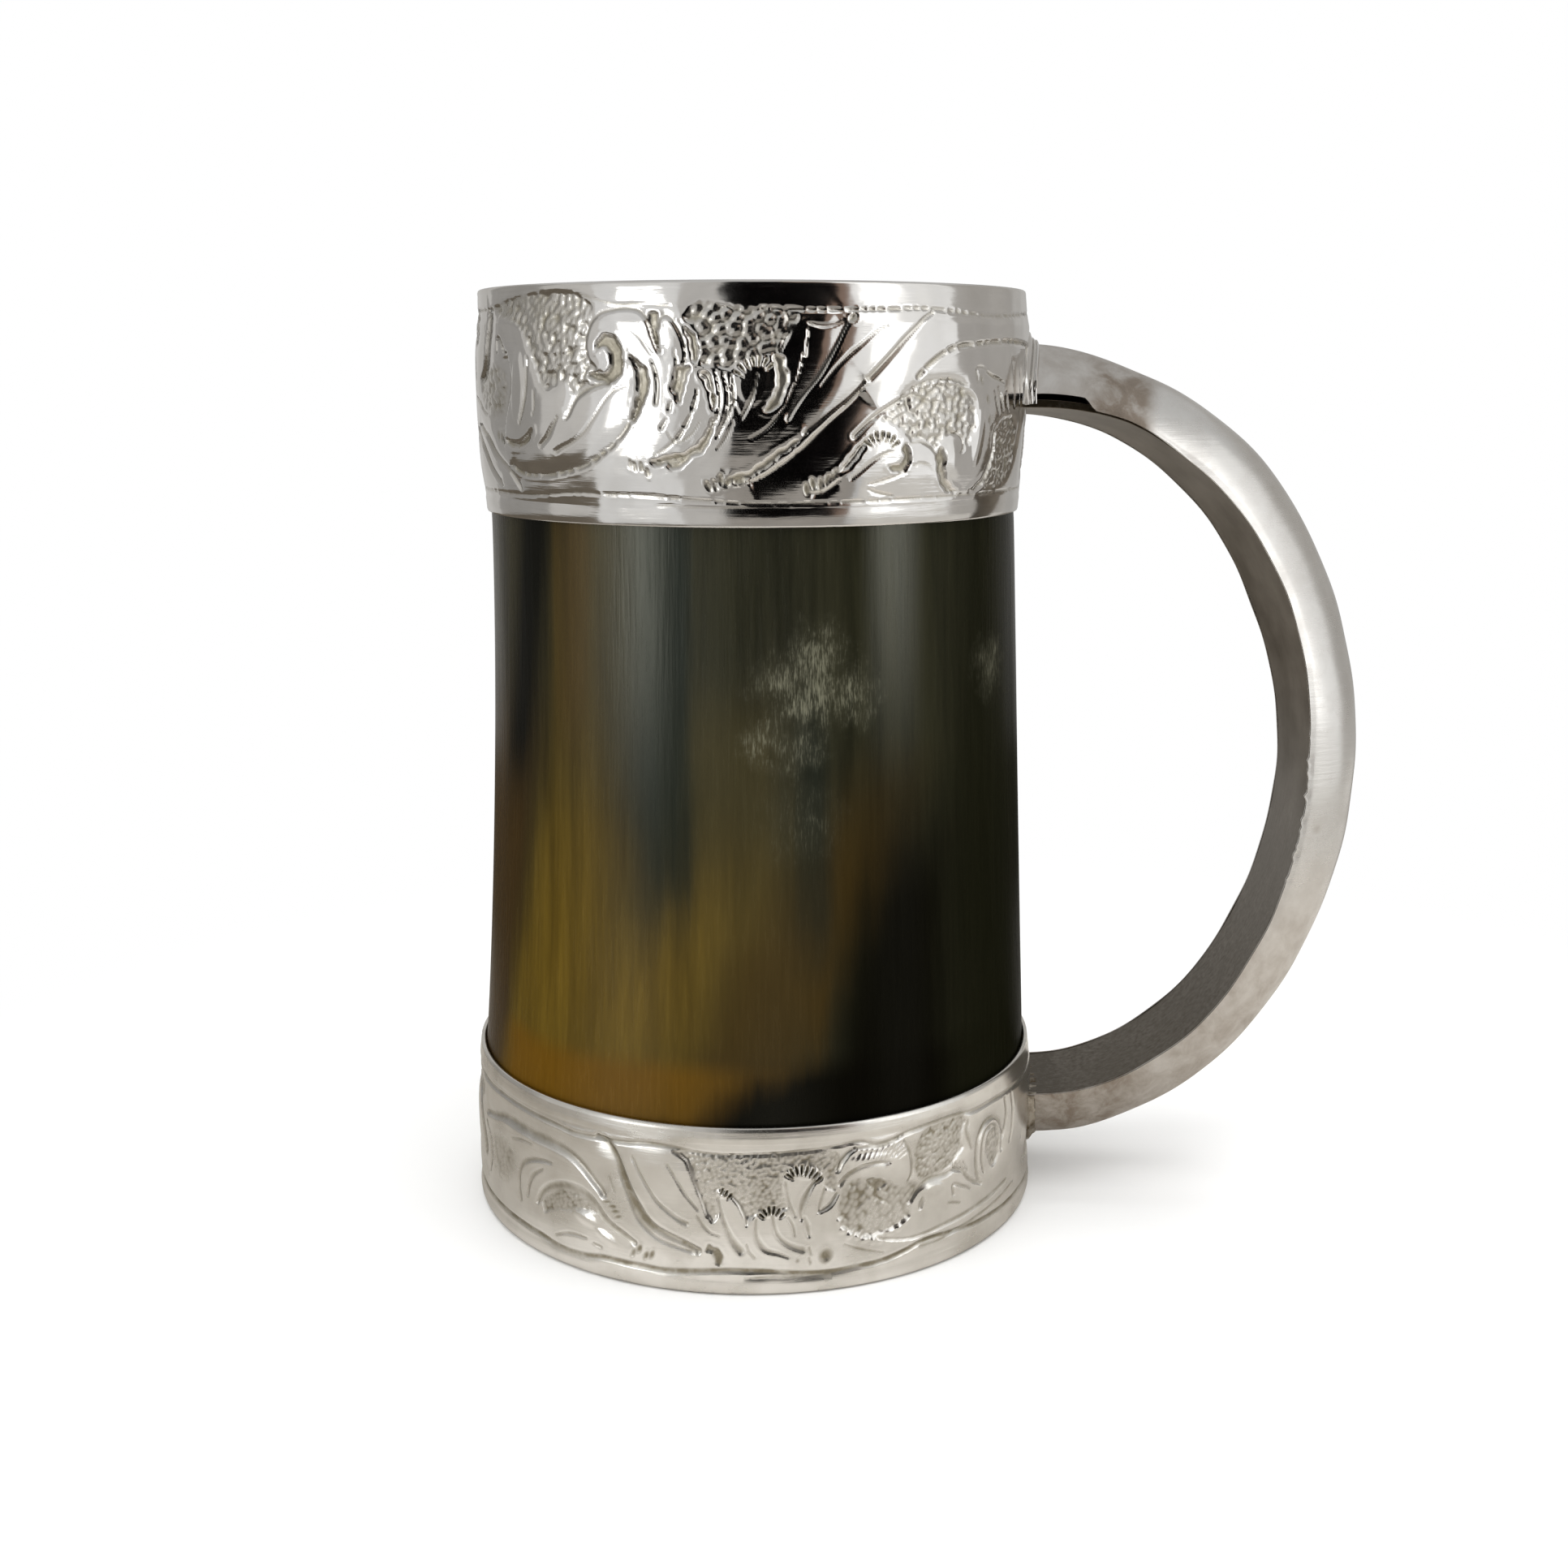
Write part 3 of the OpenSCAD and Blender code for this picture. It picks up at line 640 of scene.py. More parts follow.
for u, v in ((14.0, 11.4), (14.5, 9.9), (15.6, 9.0), (16.9, 8.5), (18.0, 7.7), (19.4, 7.3), (20.9, 7.2), (22.5, 8.0),
             (24.0, 8.4), (25.2, 9.2)):
    boss(foot_sheet, u, v, 1.9 + 0.4 * math.sin(7 * u), 1.3, 30 + 40 * math.sin(3 * u), 0.17 + 0.06 * math.sin(5 * u))
chase(foot_sheet, "14.6,7.6 16.6,6.6 19,5.7 21.2,5", (0.3, 0.5, 0.3), 0.12)
chase(foot_sheet, "20.6,7.4 23,6.8 26,6.3 29,6.3 33,6.7 38,7 44,7.6 50,8.4", (0.4, 0.8, 0.5), 0.22, fall=1.0)
chase(foot_sheet, "28,4.3 32,4.3 36,4.9 41,5.4 47,6 53,6.8", (0.3, 0.6, 0.4), 0.16)

# Small leaf and right scroll, which end at the handle's lower root
chase(foot_sheet, "26,12.2 27.2,13.6 28.4,14.6 29.6,15.1 31.4,15.1 33.4,15 35,15.4", (0.4, 0.7, 0.4), 0.3, fall=0.7)
chase(foot_sheet, "35,15.3 36.8,14.6 38.2,13 39.8,11.8 41.8,10.8", (0.5, 0.7, 0.6), 0.28)
chase(foot_sheet, "34.8,11.2 34.6,12.7 35.3,12.9 36.4,12.3 37.8,11.6 38.9,10.8", (0.5, 0.5, 0.4), 0.24)
chase(foot_sheet, "27.9,10.9 28.4,12.4", (0.6, 0.7, 0.4), 0.24)
chase(foot_sheet, "33.6,10.2 35,9.8 36.4,9.3", (0.3, 0.5, 0.3), 0.12)
boss(foot_sheet, 30.4, 13.4, 5.2, 2.6, -4, 0.34)
for k in range(4):
    chase(foot_sheet, f"{34.6 + 0.8 * k},{16.4 - 0.1 * k} {35.4 + 0.9 * k},{15.2 - 0.3 * k}", 0.35, 0.14)
chase(foot_sheet, "41.2,11.4 40.6,13.6 40.6,16.4 41.2,18.8 42.6,20.4 44.6,20.9 46.6,20.4 48.2,18.8 48.8,16.6 48.2,14",
      (0.5, 0.9, 0.4), 0.3, fall=0.8)
chase(foot_sheet, "42.6,12.4 42,14.6 42.2,17 43.2,19 45,19.6 46.6,18.8 47,17", (0.4, 0.7, 0.4), 0.24)
chase(foot_sheet, "38.6,22.4 38.2,20.6 38.8,18.8 39.4,17.4", (0.4, 0.7, 0.4), 0.22, fall=-0.8)
chase(foot_sheet, "49.8,22.6 50.2,20.4 49.8,18 48.8,16", (0.5, 0.7, 0.4), 0.24)
chase(foot_sheet, "52.4,22.6 52.8,20 52.4,17 51.2,14.4", (0.4, 0.7, 0.4), 0.2)

# Round the side: two sweeping leaves that carry the pattern on to its repeat
chase(foot_sheet, "-94,13 -89,16.4 -83,18 -77,17.4 -71,14.8 -66,11.4 -61,8.4 -57,6.8", (0.6, 1.4, 0.6), 0.36,
      fall=-1.2)
chase(foot_sheet, "-93,8.6 -87,12 -81,13.4 -75,12.8 -70,10.6 -65,7.8", (0.4, 0.9, 0.4), 0.26, fall=-0.8)
chase(foot_sheet, "-88,20.6 -83,21 -78,20.8", (0.3, 0.6, 0.3), 0.18)
chase(foot_sheet, "-66,19.4 -62,17 -59,13.6 -57.4,10", (0.5, 0.9, 0.4), 0.26, fall=1.0)
chase(foot_sheet, "-56.6,16.4 -55,13.8 -54.4,11 -55,8", (0.4, 0.7, 0.4), 0.2)
swell(foot_sheet, 1.1, 0.7)
swell(foot_sheet, 2.6, 0.6)
# Edges of the band: the run line under the top strip and the line over the foot strip
chase(foot_sheet, "-94.6,23.2 -80,23.3 -66,23.4 -54,23.4 -48,23.5 -40,23.4 -34,23.2 -30,22.8 -27,22.9 -24,23.1"
      " -20,23.3 -16,23.7 -12,23.6 -8,23 -3,22.8 3,23 8,23.2 13,23.5 17,23.8 20,23 23,23.2 26,23.8 31,24 36,24"
      " 40,23.6 46,23.6 56.8,23.2", 0.6, 0.2)
chase(foot_sheet, "-94.6,4 -84,3.6 -72,3.4 -60,3.7 -48,3.8 -38,3.5 -33,2.9 -28,3 -24,3.5 -18,3.5 -13,3.4 -8,3.8"
      " -3,4.2 2,4.1 7,3.6 12,3.3 17,3.5 21,3.7 25,4.4 29,5.2 34,5 40,4.4 48,4.1 56.8,4", (0.7, 0.9, 0.7), 0.26,
      stain=1.0)
chase(foot_sheet, "-1,2.9 3,3.1 8,2.9 12.5,2.8", (0.3, 0.6, 0.2), 0.16)
hammered(foot_sheet, 7.0, 0.05, 5)
hammered(foot_sheet, 2.6, 0.018, 6)
hammered(foot_sheet, 1.2, 0.008, 7)

outline = [(46.4, 26.9), (46.6, 27.0), (46.95, 26.97), (47.12, 26.8), (47.2, 26.2), (47.29, 25.4)]
outline += [(LOWER_R - 0.8, z) for z in np.arange(24.6, 2.55, -0.235)]
outline += [(48.0, 2.2), (48.12, 1.6), (48.1, 1.0), (47.9, 0.4), (47.5, 0.08), (47.1, 0.0), (46.98, 0.2), (46.95, 1.2)]
outline += [(46.75, 1.6), (46.7, 12.0), (46.7, 23.4), (46.4, 24.4), (46.36, 26.8)]
lower = turned("foot_band", outline, 860)
strike_up(lower, foot_sheet, LOWER_R, (2.5, 4, 6, 10, 16, 20, 22.5, 24, 24.7),
          (48.02, 48.0, 48.08, 48.18, 48.15, 47.98, 47.74, 47.46, 47.38), FOOT_WALL_R)

# The sheet has been polished a little out of round by hand
points = read_points(lower)
turn, r = around(points)
pressed = np.where(r > FOOT_WALL_R, -0.0010 * (1 + np.cos(4 * turn)), 0) * smooth((22 - points[:, 2]) / 12)
points[:, :2] *= (1 + pressed)[:, None]
set_points(lower, points)

# Polished nickel silver: bright and slightly warm, with polishing lines round the band, drawn coarser than they
# are so that they show; a beige film of tarnish stays in the cut lines and the matted grounds, where the cloth
# does not reach, and turns black in pits.
silver_finishes = {}
for name, bright, film, sheen, dull, clouded in (("polished_nickel_silver", "#dddbd8", "#b0aa9a", 0.07, 0.4, 0.18),
                                                 ("handled_nickel_silver", "#e0ded9", "#8f8877", 0.16, 0.42, 0.38),
                                                 ("rubbed_nickel_silver", "#dddbd7", "#9a8f83", 0.19, 0.42, 0.3)):
    made, tree, shader = start_finish(name, Metallic=1.0)
    where = node(tree, "TexCoord")["Object"]
    held = node(tree, "Attribute", attribute_name="tarnish")["Fac"]
    uneven = noise(tree, where, 0.004, 4.0, 0.65, 0.4)
    uneven = remap(tree, uneven, 0.35, 0.65, 0.6, 1.4)
    held = calc(tree, "MULTIPLY", held, uneven)
    breath = noise(tree, where, 0.009, 4.0, 0.6)
    breath = remap(tree, breath, 0.42, 0.75, high=clouded)
    patchy = calc(tree, "ADD", held, breath, clamp=True)
    colour = blend(tree, patchy, linear(bright), linear(film))
    black = calc(tree, "ADD", held, -1.0, clamp=True)
    colour = blend(tree, black, colour, linear("#211e1a"))
    lines = node(tree, "Mapping", {"Vector": where, "Scale": (0.05, 0.05, 1.0)})["Vector"]
    lines = noise(tree, lines, 0.0006, 3.0, 0.7)
    rough = remap(tree, patchy, 0.0, 1.0, sheen, dull)
    rough = calc(tree, "MULTIPLY_ADD", lines, 0.6 * sheen, rough)
    grit = noise(tree, where, 0.0004, 2.0)
    grit = calc(tree, "MULTIPLY", grit, held)
    grit = calc(tree, "MULTIPLY_ADD", lines, 0.6, grit)
    dress(tree, shader, colour, rough, grit, 0.16, 0.0002)
    silver_finishes[name] = made
finish_piece(lower, "lower_collar", silver_finishes["handled_nickel_silver"], 60)


# ---- Upper bedding
# The same pitch between the mouth of the horn and its collar, poured in hot from above before the lining goes in.
# It is thin, because the sheet fits the horn closely.
outline = [(42.45, 117.2), (42.6, 117.1), (42.75, 118.6), (42.75, 148.6), (42.45, 148.6), (42.45, 130)]
upper_bed = turned("mouth_pitch", outline, 180)
finish_piece(upper_bed, "upper_bedding", resin_finish)


# ---- Upper collar
# The taller chased band round the mouth, made as the lower one: a wave scroll with a volute, feathered leaves
# and matted grounds between a plain rim strip and a plain lower strip.
UPPER_R, MOUTH_WALL_R = 44.3, 43.0
mouth_sheet = flat_sheet(-82, -82 + math.pi * UPPER_R + STEP, 118.6, 149.2, 1.1, 0.9)
COARSE = (1.7, 1.35, 35)
BEATEN = (1.5, 0.8, 62)

# Matted grounds of the mouth band
mat_ground(mouth_sheet, "-47,147 -42,148 -36,148.6 -28,148.6 -25,147.8 -23.4,146.4 -23.4,144.6 -24.3,142.6"
           " -24.6,140.8 -24.1,139 -22.8,137.6 -22,136.6 -24,136.1 -26.2,134.8 -27.2,134.6 -28.6,136.2 -30.4,135.6"
           " -32.4,135.1 -33.6,136 -35,138.6 -36.6,141.4 -38.4,143.8 -42,145 -46,145.8", BEATEN, 0.34)
mat_ground(mouth_sheet, "-9,144.9 -7.8,146.4 -6,147.2 -3,146.6 0,146.3 5,146.1 7.2,145.4 6.6,143.6 5.4,141.6"
           " 4.3,140.2 2.6,139.8 0.6,139.5 -0.8,139 -1.8,138 -3,138 -4.6,138.3 -6.2,138.4 -7,139.8 -6.8,141.8"
           " -7.4,143.4", COARSE, 0.42)
mat_ground(mouth_sheet, "18.6,131 20.4,131.9 22.2,133.2 24.2,134.5 26.6,135.6 29,136 32,136 34.6,135.6 36.6,134.6"
           " 37.9,133.4 38,131.6 38.2,130.2 37.4,128.8 36.6,127.4 35.8,127.2 34.2,128.4 32.4,128.6 31,128.2 30,127.2"
           " 29.4,126.8 27.6,128 26,128.3 24.4,128 23.4,129.2 22,130.2 20,130.8", (1.3, 1.0, 40), 0.36)
mat_ground(mouth_sheet, "44.2,129.2 46,130.6 48.4,131 51,130.6 52.4,128 52,124 50,121.6 46,120.6 42.6,120.6"
           " 41.8,121.6 43.2,123.6 44.2,125.8 44.3,127.6", (1.5, 1.0, 20), 0.34)
mat_ground(mouth_sheet, "-53.6,137.4 -51,138.6 -48.6,138.8 -46.2,139.2 -44.4,138.6 -42.8,137.4 -42.6,135 -43.6,132.4"
           " -45.4,130.8 -49,130.6 -52.4,132 -54.4,134.4", (1.4, 0.9, -20), 0.22, -0.45, 1.6)
mat_ground(mouth_sheet, "-80,132 -76,130.6 -72,128.4 -69.6,125.6 -70.6,122.8 -75,121.2 -80,121.4 -80.8,126",
           (1.3, 1.0, 30), 0.34)
mat_ground(mouth_sheet, "-72,146.4 -64,146.6 -57,146.2 -54.6,144.4 -56,142 -60,141.4 -64.6,142.6 -69,144.4", BEATEN,
           0.34)

# Border lines
chase(mouth_sheet, "-26,148.4 -20,146.9 -16,146.8 -11,146.5", (0.3, 0.5, 0.3), 0.1)
chase(mouth_sheet, "2,146.2 8,146 14,146 20,146.1 27,146.3 33,146 38,145.7 44,145.6 57.1,146.2", 0.7, 0.24,
      strikes=1.9)
chase(mouth_sheet, "-81.9,146.2 -72,146.7 -62,146.8 -50,146.7 -46,147", 0.7, 0.24, strikes=1.9)
chase(mouth_sheet, "-81.9,119.8 -66,119.7 -50,119.7 -40,119.7 -34,120 -28,120.5 -22,120.5 -16,120.5 -10,120.1"
      " -4,119.7 2,119.4 10,119.5 18,119.6 28,119.8 38,119.8 48,119.8 57.1,119.8", 0.55, 0.15, strikes=3.3)
chase(mouth_sheet, "-14,119.2 -8,118.9 0,118.8 6,118.9", (0.2, 0.5, 0.2), 0.1)

# Volute and the great leaf that rolls out of it
chase(mouth_sheet, "-12.5,140.3 -13.3,142.2 -14,144 -14.8,145.2 -16,146 -18,146.2 -20,146 -22,145.5 -23.4,144.4"
      " -24.3,142.6 -24.5,140.8 -24,139.2 -22.8,138", (0.6, 0.7, 0.6), 0.34, fall=-0.7)
sink(mouth_sheet, "-22.8,140.5 -22.3,141.9 -21,142.7 -19.6,142.4 -18.6,141.2 -18.2,139.4 -18.4,137.6 -19.2,136.6"
     " -20.4,136 -21.7,136.2 -23.4,136.5 -24,137.2 -22.6,137.5 -21.4,137.4 -20.4,137.8 -20.1,139 -20.4,140.2"
     " -21,140.9 -21.9,140.9", 0.42)
chase(mouth_sheet, "-20.6,136 -22.2,135.8 -24.2,135.2 -26,134.2 -27,132.9 -27.7,131.6 -28.4,131", (0.7, 1.0, 0.6),
      0.36, fall=-0.8)
chase(mouth_sheet, "-17.6,135.8 -19.6,135 -21,133.8 -22.2,132.3 -23.5,130.7 -25,129.1 -27,127.8 -29,127 -30.6,126.3",
      (0.2, 0.4, 0.8), 0.16)
chase(mouth_sheet, "-29.8,131.4 -31,129.8 -32.2,128.3 -34,127", (0.4, 1.0, 0.5), 0.16)
sink(mouth_sheet, "-17,139.8 -15.4,138.7 -14.4,137.6 -14.2,136 -14.6,134.4 -15.3,132.8 -16.2,131 -17,130.8"
     " -16.4,132.6 -15.9,134.6 -15.8,136.6 -16.2,138.4", 0.4)
chase(mouth_sheet, "-16.9,139.6 -16,138 -15.8,136 -16,134 -16.6,132 -17.5,130.2 -18.8,128.6 -20.4,127.2 -22.2,126"
      " -24.2,124.9 -26.4,124.1 -29,123.5 -32,123 -35,122.8 -38,122.8 -40.4,123.2 -42.4,124", (0.5, 1.1, 0.8), 0.36,
      fall=-0.9, strikes=2.4, stain=0.9)
chase(mouth_sheet, "-16.6,143.3 -15.4,142.3 -14.6,141.2 -13.6,139.9", (0.15, 0.4, 0.3), 0.14)
sink(mouth_sheet, "-14.2,145.4 -13,145.6 -12.7,144.2 -12.8,142.6 -12.5,140.4 -13.3,141.6 -13.9,143.4", 0.3)
claws(mouth_sheet, ((-17.2, 124.8, 95), (-16.5, 124.5, 100), (-15.5, 124.5, 100), (-14.6, 123.7, 105)), 1.6, 0.75,
      0.22)

# Side leaf at the far left
chase(mouth_sheet, "-50,146.6 -49.2,144.5 -50,142 -50.6,140 -52,137.8 -54,136.4", (0.6, 1.2, 0.6), 0.46, fall=1.6)
chase(mouth_sheet, "-42.4,140.4 -41.8,138.4 -41.6,136 -42.2,134 -43.2,132 -43.8,130.2 -43.9,128.4", (0.5, 1.2, 0.7),
      0.5, fall=-1.8)
chase(mouth_sheet, "-45.6,140.4 -45.6,142.2 -44.8,142.5 -43.9,141.6 -43,140.3", (0.5, 0.8, 0.4), 0.3)
boss(mouth_sheet, -39.3, 135.5, 3.4, 12, -6, 0.3)
sink(mouth_sheet, "-43.4,127.9 -42,127.6 -40,127.5 -38,127.9 -36.4,128.8 -35.4,129.6 -36,128.2 -37.6,127.1 -40,126.6"
     " -42.4,126.8", 0.34)
chase(mouth_sheet, "-35.2,131.4 -34.8,133 -35,135", (0.3, 0.6, 0.3), 0.14)
claws(mouth_sheet, ((-46.2, 128.2, 95), (-45, 128, 98), (-44.1, 127.5, 105)), 1.5, 0.7, 0.22)
chase(mouth_sheet, "-57,129.6 -54,128.6 -52,128 -50.2,126.9 -48,125.4 -45.4,124.2 -43,123 -41.4,121.6 -40.2,120.4",
      (0.6, 1.0, 0.5), 0.34, fall=0.9)
chase(mouth_sheet, "-60,129 -57,127.4 -54,125.8 -51,123.4 -48.6,121.9 -46.6,120.8", (0.4, 0.9, 0.6), 0.3, fall=0.9)
chase(mouth_sheet, "-59.4,133.8 -57,133.4 -55,132.8 -53,131.8 -51,131.2", (0.4, 0.8, 0.4), 0.22)
chase(mouth_sheet, "-36.6,139.6 -36.8,136 -37.6,132.6 -38.8,130", (0.3, 1.2, 0.4), 0.22)

# Lobes and feathered leaf in the middle
chase(mouth_sheet, "-12.7,143.4 -12.4,144.7 -11.6,145.2 -10.6,144.6 -9.6,143.2 -8.9,141.4 -8.7,139.8 -9,138.4",
      (0.4, 0.7, 0.4), 0.3, fall=0.6)
sink(mouth_sheet, "-10.2,138 -9.2,138.2 -8,138.4 -8.6,136.8 -9.1,135 -9.6,133.2 -10.3,134.4 -10.8,135.2 -10.4,136.6",
     0.3)
chase(mouth_sheet, "-10.3,140.6 -9.9,138.4 -10,136.4 -10.5,134.8", (0.2, 0.45, 0.3), 0.16)
for text in ("-13.7,139.2 -13.1,137.6 -12.8,135.6 -13.1,133.2", "-10.8,133.6 -11.1,132.4", "-11.5,131.1 -12.3,129.9",
             "-7,135.3 -7.2,134 -7.6,132.7", "-8.1,131.6 -8.8,130.2", "-9.1,129.7 -9.8,128.6"):
    chase(mouth_sheet, text, (0.3, 0.5, 0.75), 0.22)
sink(mouth_sheet, "-13.9,125.3 -11.6,126 -9,126.5 -7.2,127.6 -5.6,129.6 -4.7,131.6 -4.9,129.6 -5.9,127.4 -6.9,126.3"
     " -8.3,125.7 -9.6,124.5 -10.9,124.2 -12,124.9 -13.4,124.5", 0.36)
chase(mouth_sheet, "-13.4,125.1 -11,125.6 -8.8,126.2 -7,127.4", (0.3, 0.4, 0.2), 0.16)
chase(mouth_sheet, "-13.6,126 -11.8,127 -10.2,128.4 -8.8,130.2 -7.6,132.6", (0.2, 0.5, 0.3), 0.14)
chase(mouth_sheet, "-11.4,129.4 -10.2,127.9 -8,129 -6.6,131", (0.2, 0.4, 0.2), 0.1)
sink(mouth_sheet, "-9.5,144.5 -8.6,143.6 -7.6,142.8 -7,141.6 -6.9,140 -7.4,138.8 -8,139.8 -8.2,141.4 -8.8,143", 0.5,
     0.5)
sink(mouth_sheet, "-6.7,137.3 -5.6,137.7 -5,136.6 -4.6,134.6 -4.5,132.3 -5,133 -5.4,135 -6.1,136.4", 0.5, 0.5)
for text in ("-4.5,137.6 -4,135.6 -3.9,133 -4.4,130.6", "-3.4,137.4 -2.8,135.4 -2.7,133.2 -3.4,130.4 -4.3,128.6",
             "-2.2,137 -1.9,135 -2.2,132.8 -3,130.6"):
    chase(mouth_sheet, text, (0.25, 0.6, 0.3), 0.26)
chase(mouth_sheet, "-2,131 -2.6,129.4 -3.4,128 -4.3,126.9", (0.2, 0.4, 0.3), 0.14)

# Bud with a toothed curl and its hooked ribbon
boss(mouth_sheet, 1.0, 136.4, 5.4, 7.4, 0, 0.22)
teeth(mouth_sheet, "-2,137.2 -1.2,138.4 0,139.2 1.6,139.6 3,139.2 3.9,138.2", 7, 1.2, 0.42)
sink(mouth_sheet, "4.1,140.1 5.1,139.4 5.4,138 5.8,136.7 5.3,135 4.7,133.3 3.6,132.4 2.2,132.2 2.9,133.3 3.7,134.6"
     " 4.1,136 4.1,137.8 3.6,139.2", 0.34)
chase(mouth_sheet, "1.4,137.2 1.1,135.6 0.5,133.8 -0.2,132.4 -0.9,131.2", (0.3, 0.6, 0.3), 0.24)
chase(mouth_sheet, "-2.2,137.4 -2.2,135.4 -1.8,133.2 -1.2,131.8", (0.3, 0.5, 0.3), 0.2)
chase(mouth_sheet, "8.6,143.5 8.4,141.6 8.2,139.2", (0.2, 0.45, 0.2), 0.22)
chase(mouth_sheet, "7.9,140.2 7.5,138.2 7,136.2", (0.2, 0.4, 0.2), 0.2)
chase(mouth_sheet, "6.7,136 6.2,134.8 5.6,133.4", (0.2, 0.35, 0.2), 0.18)
chase(mouth_sheet, "5.4,133 4,131.2 2.4,129.6 0.4,128.4", (0.2, 0.4, 0.3), 0.2)
chase(mouth_sheet, "5.6,142.6 5,141.2 4.6,140.2", (0.3, 0.5, 0.3), 0.2)

# Long diagonal leaves
chase(mouth_sheet, "15.4,145.4 14,143.8 13,142 11.6,139.6 10,137 8.2,134.9 6.7,132.9 5.6,131.1", (0.4, 0.9, 0.9),
      0.26, fall=-1.6)
chase(mouth_sheet, "20.6,144 18.4,142.9 16.4,141.4 14.4,139.9 12.4,138 10.4,135.6", (0.2, 0.5, 0.3), 0.2)
boss(mouth_sheet, 15.2, 144.9, 1.6, 1.0, 50, -0.3, 0.8)
chase(mouth_sheet, "8.6,144.2 10.4,143.8 12.2,144 13.8,144.6", (0.4, 0.6, 0.3), 0.24, fall=0.6)
chase(mouth_sheet, "28.4,145.8 26.6,144.8 25,143.5 23,141.8 21,139.9 19.2,138.2 17.6,136.7", (0.6, 1.0, 0.9), 0.32)
chase(mouth_sheet, "17.3,136.9 16,135.5 14.2,133.9 12.2,132.4 10,130.7 8,129.3", (0.5, 0.7, 0.9), 0.2, fall=-1.4,
      stain=0.4)
sink(mouth_sheet, "8.4,129.2 6,127.9 4,126.7 2,125.3 0,123.9 -2.4,123.4 -2,122.4 0,122.9 2,124 4,125.5 6,126.9"
     " 7.4,128", 0.26, 0.4, 0.8)
chase(mouth_sheet, "16.6,135.2 14.4,133 12.2,131.2 10,129.2 8,127.3 6,125.8 4,124.4 2,123.2 0,122.4", (0.4, 0.8, 0.4),
      0.5, fall=2.4)
for u, v in ((6.6, 127.2), (3.9, 125.4), (1.4, 123.7)):
    chase(mouth_sheet, f"{u},{v} {u + 0.3},{v - 0.7}", 0.35, 0.2)
claws(mouth_sheet, ((-5.6, 121.9, 120), (-4.7, 122.1, 110), (-3.8, 122.8, 100), (-2.8, 122.5, 60), (-1.2, 122.6, 10)),
      1.9, 0.95, 0.3)
claws(mouth_sheet, ((8.5, 121.4, 100), (9.4, 122.2, 105), (10.5, 122.1, 90), (11.5, 122.7, 70), (12.5, 123.4, 60)),
      2.1, 1.0, 0.3)
chase(mouth_sheet, "9,120.9 10.8,121 12.2,121.7 13.4,122.8", (0.3, 0.7, 0.4), 0.3, fall=-0.7)
chase(mouth_sheet, "24.2,134.3 22.2,133.4 20,132.2 18,130.9 16.4,129.6 15.4,128.7", (0.5, 0.9, 0.8), 0.34)
sink(mouth_sheet, "17.8,128.4 16.4,127.6 15,126.2 13.8,124.7 13.1,123.4 14.2,123.9 15.6,125.2 16.8,126.8", 0.44, 0.5,
     0.5)
teeth(mouth_sheet, "16.8,127.6 17.8,128.7 19.2,129.2 20.8,129 22,128.4 22.8,127.4", 7, 1.2, 0.36)
chase(mouth_sheet, "21.8,126.6 20,126.1 18.2,125.1 16.6,123.9 15,122.7", (0.3, 0.5, 0.3), 0.2)
sink(mouth_sheet, "24,127.8 23.3,126.7 23.6,125.5 22.6,124.7 21,124.4 22.2,123.6 23.8,123.8 24.7,125 24.4,126.6",
     0.34)
chase(mouth_sheet, "17.8,121.9 20,122.4 22.2,123 24,123.5", (0.3, 0.6, 0.3), 0.2)
chase(mouth_sheet, "17.8,121.4 19.6,120.7 22,120.3", (0.3, 0.6, 0.3), 0.2, fall=-0.5)
chase(mouth_sheet, "24.4,127.5 26.4,127.8 28.2,127.2 29.4,126.2 29.9,125", (0.3, 0.6, 0.4), 0.28, fall=0.6)
chase(mouth_sheet, "25,124.4 26.6,124.7 28,124.4 29,123.6", (0.2, 0.4, 0.2), 0.12)

# Great C-scroll at the right
chase(mouth_sheet, "25.8,136.9 27,138 28.7,139.2 30.6,140.2 32.6,140.9 35,141.3 38,141.5 42,141.8 48,142 57.1,141.7",
      (1.0, 0.9, 0.8), 0.36, strikes=2.9, stain=0.9)
chase(mouth_sheet, "-81.9,141.7 -77,140.8 -72,138.4 -68,135.4 -64,131.8 -61,128.4 -58,126", (0.8, 1.0, 0.6), 0.36,
      fall=-1.0, strikes=2.9)
chase(mouth_sheet, "23,134.2 25,135.3 27.4,136.2 30,136.5 33,136.4 35.6,135.7", (0.4, 0.6, 0.3), 0.28, fall=0.5)
for k in range(6):
    rise = 0.9 * math.sqrt(k)
    chase(mouth_sheet, f"{23.4 + 1.7 * k},{134.6 + rise} {22.8 + 1.7 * k},{133.6 + rise}", 0.45, 0.24)
chase(mouth_sheet, "32.8,128.9 34,128.7 35.1,127.8 35.3,126.6 34.6,126", (0.3, 0.6, 0.3), 0.26)
sink(mouth_sheet, "29.8,125.6 30.6,126.8 31.3,125.4 31.4,124 32,122.4 33.2,121 34.6,120.3 32.4,120.4 31,121.6"
     " 30.3,122.8 29.9,124.2", 0.36)
boss(mouth_sheet, 38.8, 128.2, 2.6, 10, -10, 0.2)
boss(mouth_sheet, 33, 125, 3.4, 6, 8, 0.2)
sink(mouth_sheet, "44.2,129.4 43.4,128.6 43.2,126.6 42.6,124.6 41.4,122.6 40,121.4 38.2,120.6 37.4,120.2 39.4,120.4"
     " 41.2,121.2 42.8,123 43.8,125.2 44.1,127.4", 0.5, 0.5, 0.8)
chase(mouth_sheet, "37.5,137.2 37.8,138.1 38.9,138.3 40,138", (0.3, 0.5, 0.3), 0.2)
